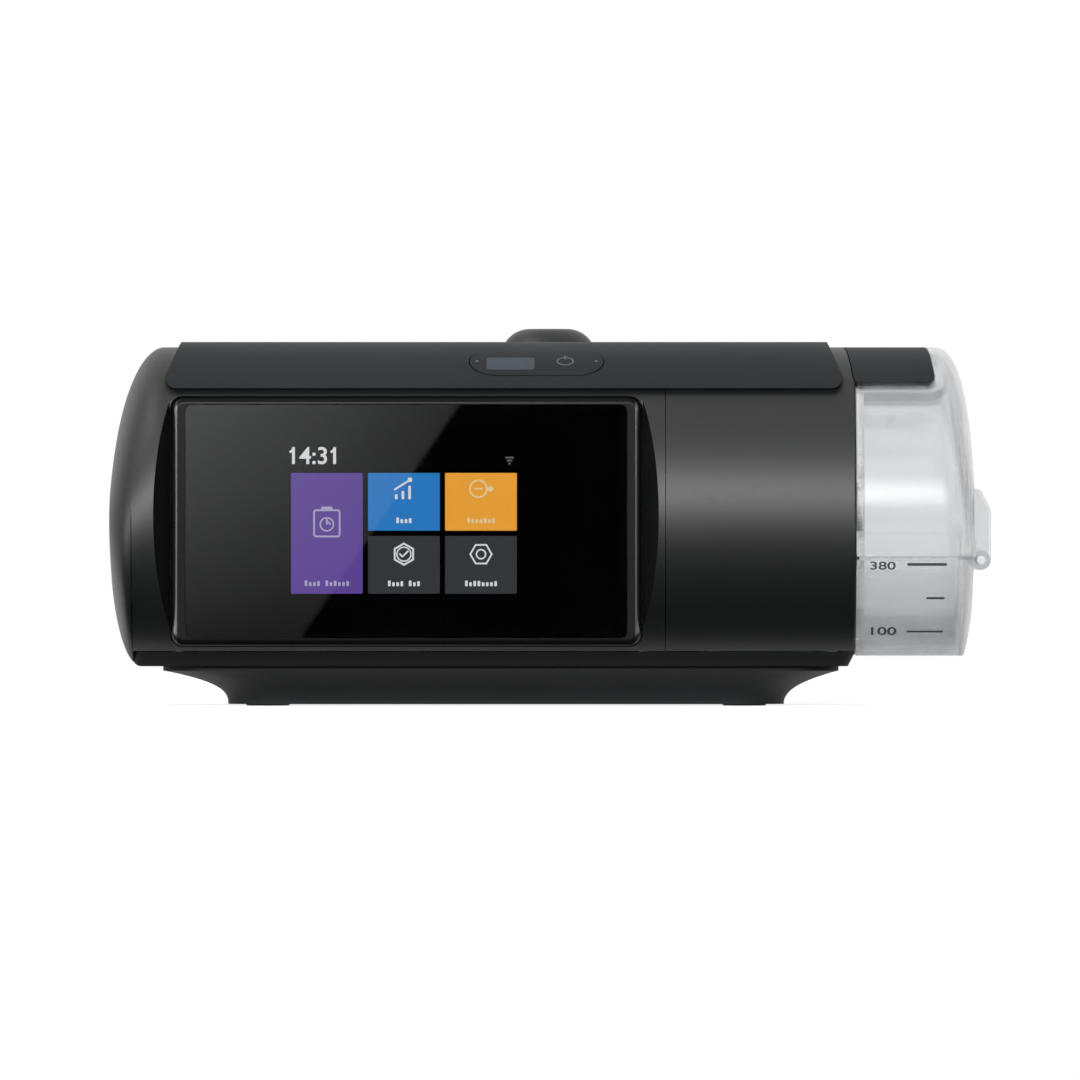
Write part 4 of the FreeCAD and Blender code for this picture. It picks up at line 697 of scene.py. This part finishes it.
class MACHINE_OT_screen_tiles(bpy.types.Operator):
    """Coloured menu tiles on the LCD."""
    bl_idname = "machine.screen_tiles"
    bl_label = "Screen tiles"

    def execute(self, context):
        for name, finish, column, row, rows in SCREEN_TILES:
            x, z = tile_middle(column, row, rows)
            tile = flat_tile(finish_values().tile_width, tile_height(rows), TILE_CORNER,
                             facing_front(x, PANEL_FRONT_Y, z))
            hand_over(raised(tile, TILE_THICKNESS), name, "root", finish)
        return {"FINISHED"}


# Signs and captions are drawn in mm and degrees on their tiles
BAR_CORNER = 0.3                               # share of a bar's narrow side
LETTER_PITCH = 1.25
LETTER_WIDTH = 0.8
LOW_LETTER = 1.2


def menu_stand(x, z, layer, turn=0.0):
    """Place on the screen in mm; layer 0 lies on the LCD and layer 1 on a tile."""
    return facing_front(x * MM, PANEL_FRONT_Y - layer * TILE_THICKNESS, z * MM, math.radians(turn))


def menu_bar(x, z, width, height, layer=1, turn=0.0):
    """A stroke or block of a sign, in mm, with its corners taken off."""
    corner = BAR_CORNER * min(width, height) * MM
    return flat_tile(width * MM, height * MM, corner, menu_stand(x, z, layer, turn))


def menu_ring(x, z, sides, radius, line, turn=0.0):
    """An outlined circle or polygon of a sign, in mm."""
    return flat_ring(sides, radius * MM, line * MM, menu_stand(x, z, 1, turn))


def menu_label(x, z, letters):
    """A line of plain blocks that stands for a caption; 0 is a space."""
    start = x - LETTER_PITCH * (len(letters) - 1) / 2
    return [menu_bar(start + LETTER_PITCH * i, z + (height - LOW_LETTER) / 2, LETTER_WIDTH, height)
            for i, height in enumerate(letters) if height]


def report_sign(x, z):
    """Clipboard with a clock on it."""
    return [flat_frame(8.2 * MM, 8.4 * MM, 0.9 * MM, 0.55 * MM, menu_stand(x, z + 3.0, 1)),
            menu_bar(x, z + 7.4, 3.4, 1.2), menu_ring(x, z + 2.7, 24, 2.2, 0.45),
            menu_bar(x + 0.6, z + 3.2, 1.6, 0.5, 1, 45.0), menu_bar(x, z + 3.5, 0.5, 1.8)]


def ramp_sign(x, z):
    """Three rising columns under a line."""
    columns = [menu_bar(x - 2.3 + 2.0 * i, z + 0.75 + height / 2, 0.8, height)
               for i, height in enumerate((1.5, 2.5, 4.1))]
    return columns + [menu_bar(x - 0.8, z + 4.9, 5.0, 0.55, 1, -32.0), menu_bar(x + 1.8, z + 6.6, 1.3, 1.3)]


def comfort_sign(x, z):
    """Ring with a plug on its right."""
    return [menu_ring(x - 0.8, z + 3.9, 28, 2.8, 0.55), menu_bar(x + 2.8, z + 3.9, 1.6, 1.6, 1, 45.0),
            menu_bar(x - 0.8, z + 3.9, 2.4, 0.5)]


def fit_sign(x, z):
    """Tick in a ring in a hexagon."""
    return [menu_ring(x, z + 3.2, 6, 3.5, 0.55), menu_ring(x, z + 3.2, 28, 2.3, 0.4),
            menu_bar(x + 0.4, z + 3.3, 2.6, 0.5, 1, -45.0), menu_bar(x - 0.9, z + 2.9, 1.4, 0.5, 1, 45.0)]


def settings_sign(x, z):
    """Nut seen from above."""
    return [menu_ring(x, z + 3.2, 6, 3.5, 0.5, 30.0), menu_ring(x, z + 3.2, 24, 1.6, 0.45)]


CAPTION_DROP = {1: 5.8, 2: 15.2}               # how far a caption lies under its tile's middle, by rows
MENU_ICONS = (
    # name, finish, sign, column, row, rows, heights of the caption's blocks
    ("icon_report", "screen_pale", report_sign, 0, 0, 2,
     (1.7, 1.2, 1.2, 1.5, 0, 1.7, 1.2, 1.6, 1.2, 1.2, 1.5)),
    ("icon_ramp", "screen_white", ramp_sign, 1, 1, 1, (1.7, 1.2, 1.2, 1.5)),
    ("icon_comfort", "screen_cream", comfort_sign, 2, 1, 1, (1.7, 1.2, 1.2, 1.2, 1.6, 1.2, 1.5)),
    ("icon_fit", "screen_white", fit_sign, 1, 0, 1, (1.7, 1.2, 1.2, 1.5, 0, 1.7, 1.2, 1.5)),
    ("icon_settings", "screen_white", settings_sign, 2, 0, 1, (1.7, 1.2, 1.6, 1.6, 1.2, 1.2, 1.2, 1.5)),
)


class MACHINE_OT_screen_icons(bpy.types.Operator):
    """Plain line icons and caption blocks on the tiles."""
    bl_idname = "machine.screen_icons"
    bl_label = "Screen icons"

    def execute(self, context):
        for name, finish, sign, column, row, rows, caption in MENU_ICONS:
            x, z = (value / MM for value in tile_middle(column, row, rows))
            parts = sign(x, z) + menu_label(x, z - CAPTION_DROP[rows], caption)
            icon = raised(joined(parts), INK_THICKNESS)
            hand_over(icon, name, "root", finish)
        return {"FINISHED"}


def fitted(piece, width, height):
    """Stretches a flat shape to a width and height along its own axes."""
    make_active(piece)
    low = Vector(map(min, *[corner[:] for corner in piece.bound_box]))
    high = Vector(map(max, *[corner[:] for corner in piece.bound_box]))
    piece.scale = (width / (high.x - low.x), height / (high.y - low.y), 1.0)
    return piece


# Top line of the screen; bare numbers are mm and degrees
CLOCK_TIME = "14:31"
CLOCK_PLACE = (-71.2, 74.9)
CLOCK_SIZE = (13.2 * MM, 5.2 * MM)
CLOCK_TYPE = 7.0 * MM                          # size of the type that is fitted to this
ONES_X = (-77.9, -65.6)                        # the two ones get a flag each
ONES_Z = 76.6
ONES_FLAG = (1.5, 0.7)
ONES_TURN = -38.0
SIGNAL_PLACE = (-12.6, 74.6)
SIGNAL_STEP = 0.9                              # each bar lies lower and is shorter than the last by this
SIGNAL_BAR = (2.6, 0.5)


class MACHINE_OT_screen_clock(bpy.types.Operator):
    """Clock digits and signal bars above the tiles."""
    bl_idname = "machine.screen_clock"
    bl_label = "Screen clock"

    def execute(self, context):
        digits = flat_digits(CLOCK_TIME, CLOCK_TYPE, menu_stand(*CLOCK_PLACE, 0))
        fitted(digits, *CLOCK_SIZE)
        flags = [menu_bar(x, ONES_Z, *ONES_FLAG, 0, ONES_TURN) for x in ONES_X]
        digits = joined([digits] + flags)
        hand_over(raised(digits, INK_THICKNESS), "clock_digits", "root", "screen_white")
        x, z = SIGNAL_PLACE
        width, height = SIGNAL_BAR
        bars = [menu_bar(x, z - SIGNAL_STEP * i, width - SIGNAL_STEP * i, height, 0) for i in range(3)]
        hand_over(raised(joined(bars), INK_THICKNESS), "signal_bars", "root", "screen_dim")
        return {"FINISHED"}


# ---------------------------------------------------------------- marks on key and tank

# Marks on the start key; bare numbers are mm along X and degrees about the barrel's axis
KEY_RADIUS = 52.25 * MM
KEY_ANGLE = 61.9                               # of the key's middle, up from the front
KEY_CLEARANCE = 1.0 * MM                       # how far a shape is held off the key before it is laid on
WINDOW_X, WINDOW_ANGLE = -12.3, 60.4
WINDOW_SIZE = (14.4 * MM, 7.4 * MM, 1.2 * MM)  # width, height and corner, like the next two
SIGN_X = 4.1
SIGN_RADIUS, SIGN_LINE = 2.6 * MM, 0.45 * MM
STROKE_RISE = 2.6                              # degrees from the ring's middle up to the stroke
STROKE_SIZE = (0.5 * MM, 2.6 * MM, 0.2 * MM)
STROKE_LIFT = 0.012 * MM                       # clears the ring where they cross
DOTS_X = (-22.4, 13.4)
DOT_SIZE = (0.9 * MM, 0.9 * MM, 0.3 * MM)


def on_key(x, angle=KEY_ANGLE):
    """Place and turn of a flat shape held just over the start key."""
    a = math.radians(angle)
    reach = KEY_RADIUS + KEY_CLEARANCE
    return {"location": (x * MM, BARREL_Y - reach * math.cos(a), BARREL_Z + reach * math.sin(a)),
            "rotation": (math.radians(90) - a, 0.0, 0.0)}


class MACHINE_OT_key_marks(bpy.types.Operator):
    """Light window, power sign and end dots on the start key."""
    bl_idname = "machine.key_marks"
    bl_label = "Start key marks"

    def execute(self, context):
        window = flat_tile(*WINDOW_SIZE, on_key(WINDOW_X, WINDOW_ANGLE))
        laid_on(window, "start_button", cuts=4)
        hand_over(raised(window, MARK_THICKNESS), "key_light_window",
                  "start_key", "key_window")
        ring = flat_ring(32, SIGN_RADIUS, SIGN_LINE, on_key(SIGN_X))
        stroke = flat_tile(*STROKE_SIZE, on_key(SIGN_X, KEY_ANGLE + STROKE_RISE))
        sign = joined([laid_on(ring, "start_button", cuts=1),
                       laid_on(stroke, "start_button", cuts=1, lift=STROKE_LIFT)])
        hand_over(raised(sign, MARK_THICKNESS), "key_power_sign", "start_key", "key_ink")
        dots = joined([laid_on(flat_tile(*DOT_SIZE, on_key(x)), "start_button", cuts=1) for x in DOTS_X])
        hand_over(raised(dots, MARK_THICKNESS), "key_end_dots", "start_key", "key_ink")
        return {"FINISHED"}


LEVEL_LINES = (
    # left X, right X, Z, height in mm
    (106.4, 118.2, 42.6, 0.8),
    (112.2, 117.6, 32.5, 0.6),
    (106.4, 117.2, 22.5, 0.5),
)
LEVEL_NUMBERS = (
    # number, X, Z in mm
    ("380", 99.0, 42.1),
    ("100", 99.0, 22.5),
)
LEVEL_TYPE = 2.4 * MM
LEVEL_NUMBER_SIZE = (7.6 * MM, 2.4 * MM)
LEVEL_CORNER = 0.15 * MM
IN_FRONT_OF_TANK = -75.0 * MM


class MACHINE_OT_level_marks(bpy.types.Operator):
    """Filling lines and their numbers on the tank's front."""
    bl_idname = "machine.level_marks"
    bl_label = "Filling marks"

    def execute(self, context):
        marks = []
        for left, right, z, height in LEVEL_LINES:
            stand = facing_front((left + right) / 2 * MM, IN_FRONT_OF_TANK, z * MM)
            line = flat_tile((right - left) * MM, height * MM, LEVEL_CORNER, stand)
            marks.append(laid_on(line, "tank_tub", cuts=6))
        for number, x, z in LEVEL_NUMBERS:
            digits = flat_digits(number, LEVEL_TYPE, facing_front(x * MM, IN_FRONT_OF_TANK, z * MM))
            marks.append(laid_on(fitted(digits, *LEVEL_NUMBER_SIZE), "tank_tub", cuts=1))
        hand_over(raised(joined(marks), MARK_THICKNESS), "level_marks", "tank", "level_ink")
        return {"FINISHED"}


# ---------------------------------------------------------------- studio

def make_floor():
    """White paper sweep: keeps the shadow, and is white where no shadow falls."""
    start_clean()
    bpy.ops.mesh.primitive_plane_add(size=studio_values().floor_size)
    floor = bpy.context.object
    floor.name = "studio_floor"
    material, tree, place = new_material("white_paper_floor")
    fibre = add_node(tree, "ShaderNodeTexNoise", {"Vector": place, "Scale": 1 / (2 * MM), "Detail": 3.0})
    paper = add_node(tree, "ShaderNodeBsdfPrincipled", {
        "Base Color": add_node(tree, "ShaderNodeMix", {
            "Factor": fibre, FIRST: linear("#d8d8d8"), SECOND: linear("#dedede")},
            output=BLEND, data_type="RGBA"),
        "Roughness": 0.9,
        "Specular IOR Level": 0.1,
    })
    lift = add_node(tree, "ShaderNodeEmission", {"Color": WHITE, "Strength": 0.8})
    lifted = add_node(tree, "ShaderNodeAddShader", {0: paper, 1: lift})
    sweep = add_node(tree, "ShaderNodeMixShader", {"Fac": seen_rays(tree), 1: paper, 2: lifted})
    floor.data.materials.append(with_surface(material, sweep))


def seen_rays(tree):
    """1 for rays from the camera and for what gloss and glass show, 0 for the rest."""
    rays = add_node(tree, "ShaderNodeLightPath").node.outputs
    seen = rays["Is Camera Ray"]
    for kind in ("Is Glossy Ray", "Is Transmission Ray"):
        seen = add_node(tree, "ShaderNodeMath", {0: seen, 1: rays[kind]}, operation="MAXIMUM")
    return seen


def make_world():
    """Even fill light, which shows as plain white."""
    world = bpy.data.worlds.new("studio_world")
    bpy.context.scene.world = world
    world.use_nodes = True
    tree = world.node_tree
    tree.nodes.clear()
    fill = add_node(tree, "ShaderNodeBackground", {"Color": WHITE, "Strength": studio_values().fill})
    white = add_node(tree, "ShaderNodeBackground", {"Color": WHITE, "Strength": 1.0})
    both = add_node(tree, "ShaderNodeMixShader", {"Fac": seen_rays(tree), 1: fill, 2: white})
    add_node(tree, "ShaderNodeOutputWorld", {"Surface": both})


LIT_POINT = Vector((0.0, -0.02, 0.06))         # the lamps point at it
KEY_LIGHT_RISE = math.radians(15)              # how steeply the key light comes down
KEY_LIGHT_REACH = 1.6
LIGHTS = (
    # name, place from the lit point, width, height in metres, setting of its brightness, share of that
    ("key_softbox",
     (-0.15, -KEY_LIGHT_REACH * math.cos(KEY_LIGHT_RISE), KEY_LIGHT_REACH * math.sin(KEY_LIGHT_RISE)),
     1.5, 0.62, "key_radiance", 1.0),
    ("top_softbox", (-0.8, -0.33, 1.24), 1.6, 1.0, "top_radiance", 1.0),
    ("left_strip", (-1.25, -1.13, 0.08), 1.3, 0.45, "side_radiance", 1.0),
    ("right_strip", (1.3, -1.08, 0.08), 1.0, 0.45, "side_radiance", 0.5),
)
SOFT_FROM, SOFT_TO = 0.1, 0.5                  # a lamp's face fades between these shares of its size


def soften_edges(tree):
    """Lets a lamp's face fade towards its edges, as a softbox's cloth does."""
    face = add_node(tree, "ShaderNodeNewGeometry", output="Parametric")
    axes = add_node(tree, "ShaderNodeSeparateXYZ", {"Vector": face}).node.outputs
    strength = 1.0
    for axis in ("X", "Y"):
        offset = add_node(tree, "ShaderNodeMath", {0: axes[axis], 1: 0.5}, operation="SUBTRACT")
        away = add_node(tree, "ShaderNodeMath", {0: offset}, operation="ABSOLUTE")
        share = add_node(tree, "ShaderNodeMapRange", {
            "Value": away, "From Min": SOFT_FROM, "From Max": SOFT_TO, "To Min": 1.0, "To Max": 0.0})
        strength = add_node(tree, "ShaderNodeMath", {0: strength, 1: share}, operation="MULTIPLY")
    tree.links.new(strength, tree.nodes["Emission"].inputs["Strength"])


def make_lights():
    """Rectangular lamps whose faces have the given brightness in their middle."""
    for name, offset, width, height, setting, share in LIGHTS:
        light = bpy.data.lights.new(name, "AREA")
        light.shape = "RECTANGLE"
        light.size = width
        light.size_y = height
        light.energy = getattr(studio_values(), setting) * share * math.pi * width * height
        light.use_nodes = True
        soften_edges(light.node_tree)
        lamp = bpy.data.objects.new(name, light)
        bpy.context.scene.collection.objects.link(lamp)
        lamp.location = LIT_POINT + Vector(offset)
        lamp.rotation_euler = (-Vector(offset)).to_track_quat("-Z", "Y").to_euler()
        lamp.visible_camera = False


# Cards in metres: name, place, turn, width, height
BLACK_FLAGS = (
    ("black_flag", (0.0, -0.9, 0.0008), (0.0, 0.0, 0.0), 2.6, 1.7),
    ("black_backdrop", (0.0, -8.05, 0.05), FACE_FRONT, 2.4, 1.6),
)
CARD_DISTANCE = 8.0                            # from the origin to the wedge's card
GLASS_DISTANCE = 59.0 * MM                     # from the origin to the cover glass
WEDGE_CARD = ("reflection_card", (CAMERA_X - 0.12, -CARD_DISTANCE, CAMERA_Z + 0.03), FACE_FRONT, 0.9, 0.5)
# A length that the camera sees in the glass is this much longer on the card
CARD_SCALE = 1.0 + (CARD_DISTANCE - GLASS_DISTANCE) / (CAMERA_DISTANCE - GLASS_DISTANCE)

# The wedge as the glass shows it, in mm
WEDGE_TOP = (-27.6, 90.6)                      # ends of its slanting edge
WEDGE_FOOT = (-75.8, 19.7)
WEDGE_LEFT, WEDGE_RIGHT = (-110.0, 1.0), (-25.0, 0.26)  # X and the brightness there
WEDGE_LOW, WEDGE_HIGH = (20.0, 0.17), (92.0, 0.98)      # Z and the brightness there
WEDGE_BLUR = 2.0 * MM                          # half the width of the edge's blur on the card


def hidden_card(material, name, place, turn, width, height):
    """A flat card that only reflections show."""
    start_clean()
    bpy.ops.mesh.primitive_plane_add(size=1.0, location=place, rotation=turn)
    card = bpy.context.object
    card.name = name
    card.scale = (width, height, 1.0)
    place_in_mesh(card)
    card.data.materials.append(material)
    card.visible_camera = False
    card.visible_shadow = False


def make_black_flags():
    """Black felt on the floor and behind the camera, so that underside and bezel mirror no white."""
    material, tree, place = new_material("black_flag_card")
    nap = add_node(tree, "ShaderNodeTexNoise", {"Vector": place, "Scale": 1 / (3 * MM), "Detail": 2.0})
    shade = add_node(tree, "ShaderNodeMix", {
        "Factor": nap, FIRST: linear("#0b0b0b"), SECOND: linear("#101010")},
        output=BLEND, data_type="RGBA")
    with_surface(material, add_node(tree, "ShaderNodeBsdfDiffuse", {"Color": shade}))
    for flag in BLACK_FLAGS:
        hidden_card(material, *flag)


def make_reflection_card():
    """Black flag behind the camera with a grey wedge, which the cover glass mirrors."""
    material, tree, place = new_material("grey_wedge_card")
    glow = add_node(tree, "ShaderNodeEmission", {"Color": WHITE, "Strength": wedge_brightness(tree, place)})
    hidden_card(with_surface(material, glow), *WEDGE_CARD)


def on_card(x, z):
    """Where on the card the glass mirrors a point of its own, in metres."""
    return CAMERA_X + (x * MM - CAMERA_X) * CARD_SCALE, CAMERA_Z + (z * MM - CAMERA_Z) * CARD_SCALE


def wedge_brightness(tree, place):
    """Bright at the upper left of the slanting edge, fading to the right and down, black beyond it."""
    axes = add_node(tree, "ShaderNodeSeparateXYZ", {"Vector": place}).node.outputs
    top, foot = on_card(*WEDGE_TOP), on_card(*WEDGE_FOOT)
    slope = (top[0] - foot[0]) / (top[1] - foot[1])
    edge = top[0] - slope * top[1]
    lean = add_node(tree, "ShaderNodeMath", {0: axes["Z"], 1: -slope, 2: axes["X"]},
                    operation="MULTIPLY_ADD")
    left, low = on_card(WEDGE_LEFT[0], WEDGE_LOW[0])
    right, high = on_card(WEDGE_RIGHT[0], WEDGE_HIGH[0])
    brightness = 1.0
    for value, start, end, first, last in (
            (axes["X"], left, right, WEDGE_LEFT[1], WEDGE_RIGHT[1]),
            (axes["Z"], low, high, WEDGE_LOW[1], WEDGE_HIGH[1]),
            (lean, edge - WEDGE_BLUR, edge + WEDGE_BLUR, 1.0, 0.0)):
        share = add_node(tree, "ShaderNodeMapRange", {
            "Value": value, "From Min": start, "From Max": end, "To Min": first, "To Max": last})
        brightness = add_node(tree, "ShaderNodeMath", {0: brightness, 1: share}, operation="MULTIPLY")
    return brightness


def make_camera():
    """Camera straight in front, far off as for a product picture."""
    data = bpy.data.cameras.new("studio_camera")
    data.sensor_width = SENSOR
    data.lens = SENSOR * (CAMERA_DISTANCE + BARREL_Y) / SEEN_WIDTH
    data.clip_start = 0.1
    data.clip_end = 20.0
    camera = bpy.data.objects.new("studio_camera", data)
    bpy.context.scene.collection.objects.link(camera)
    camera.location = (CAMERA_X, -CAMERA_DISTANCE, CAMERA_Z)
    camera.rotation_euler = FACE_FRONT
    bpy.context.scene.camera = camera


class MACHINE_OT_stage(bpy.types.Operator):
    """Pale floor, soft lights, screen reflection card and the camera."""
    bl_idname = "machine.stage"
    bl_label = "Studio"

    def execute(self, context):
        make_floor()
        make_world()
        make_lights()
        make_black_flags()
        make_reflection_card()
        make_camera()
        return {"FINISHED"}


# ---------------------------------------------------------------- panel and start

class MACHINE_PT_panel(bpy.types.Panel):
    """Lists the pieces in the sidebar."""
    bl_idname = "MACHINE_PT_panel"
    bl_label = "Breathing machine"
    bl_space_type = "VIEW_3D"
    bl_region_type = "UI"
    bl_category = "Machine"

    def draw(self, context):
        layout = self.layout
        for values in (context.scene.machine_finish, context.scene.machine_studio):
            for name in values.bl_rna.properties.keys():
                if name not in ("rna_type", "name"):
                    layout.prop(values, name)
        for operator in OPERATORS:
            layout.operator(operator.bl_idname)


OPERATORS = (
    MACHINE_OT_finishes,
    MACHINE_OT_cover_glass,
    MACHINE_OT_border_print,
    MACHINE_OT_screen_tiles,
    MACHINE_OT_screen_icons,
    MACHINE_OT_screen_clock,
    MACHINE_OT_key_marks,
    MACHINE_OT_level_marks,
    MACHINE_OT_stage,
)
CLASSES = (MachineFinish, MachineStudio) + OPERATORS + (MACHINE_PT_panel,)


def register():
    """Adds the classes and their values to Blender."""
    for cls in CLASSES:
        bpy.utils.register_class(cls)
    bpy.types.Scene.machine_finish = bpy.props.PointerProperty(type=MachineFinish)
    bpy.types.Scene.machine_studio = bpy.props.PointerProperty(type=MachineStudio)


def unregister():
    """Takes them out again."""
    del bpy.types.Scene.machine_studio
    del bpy.types.Scene.machine_finish
    for cls in reversed(CLASSES):
        bpy.utils.unregister_class(cls)


def main():
    """Makes all the pieces and the studio."""
    register()
    bpy.context.scene.view_settings.view_transform = "Standard"
    for operator in OPERATORS:
        category, name = operator.bl_idname.split(".")
        getattr(getattr(bpy.ops, category), name)()
    start_clean()


if __name__ == "__main__":
    main()
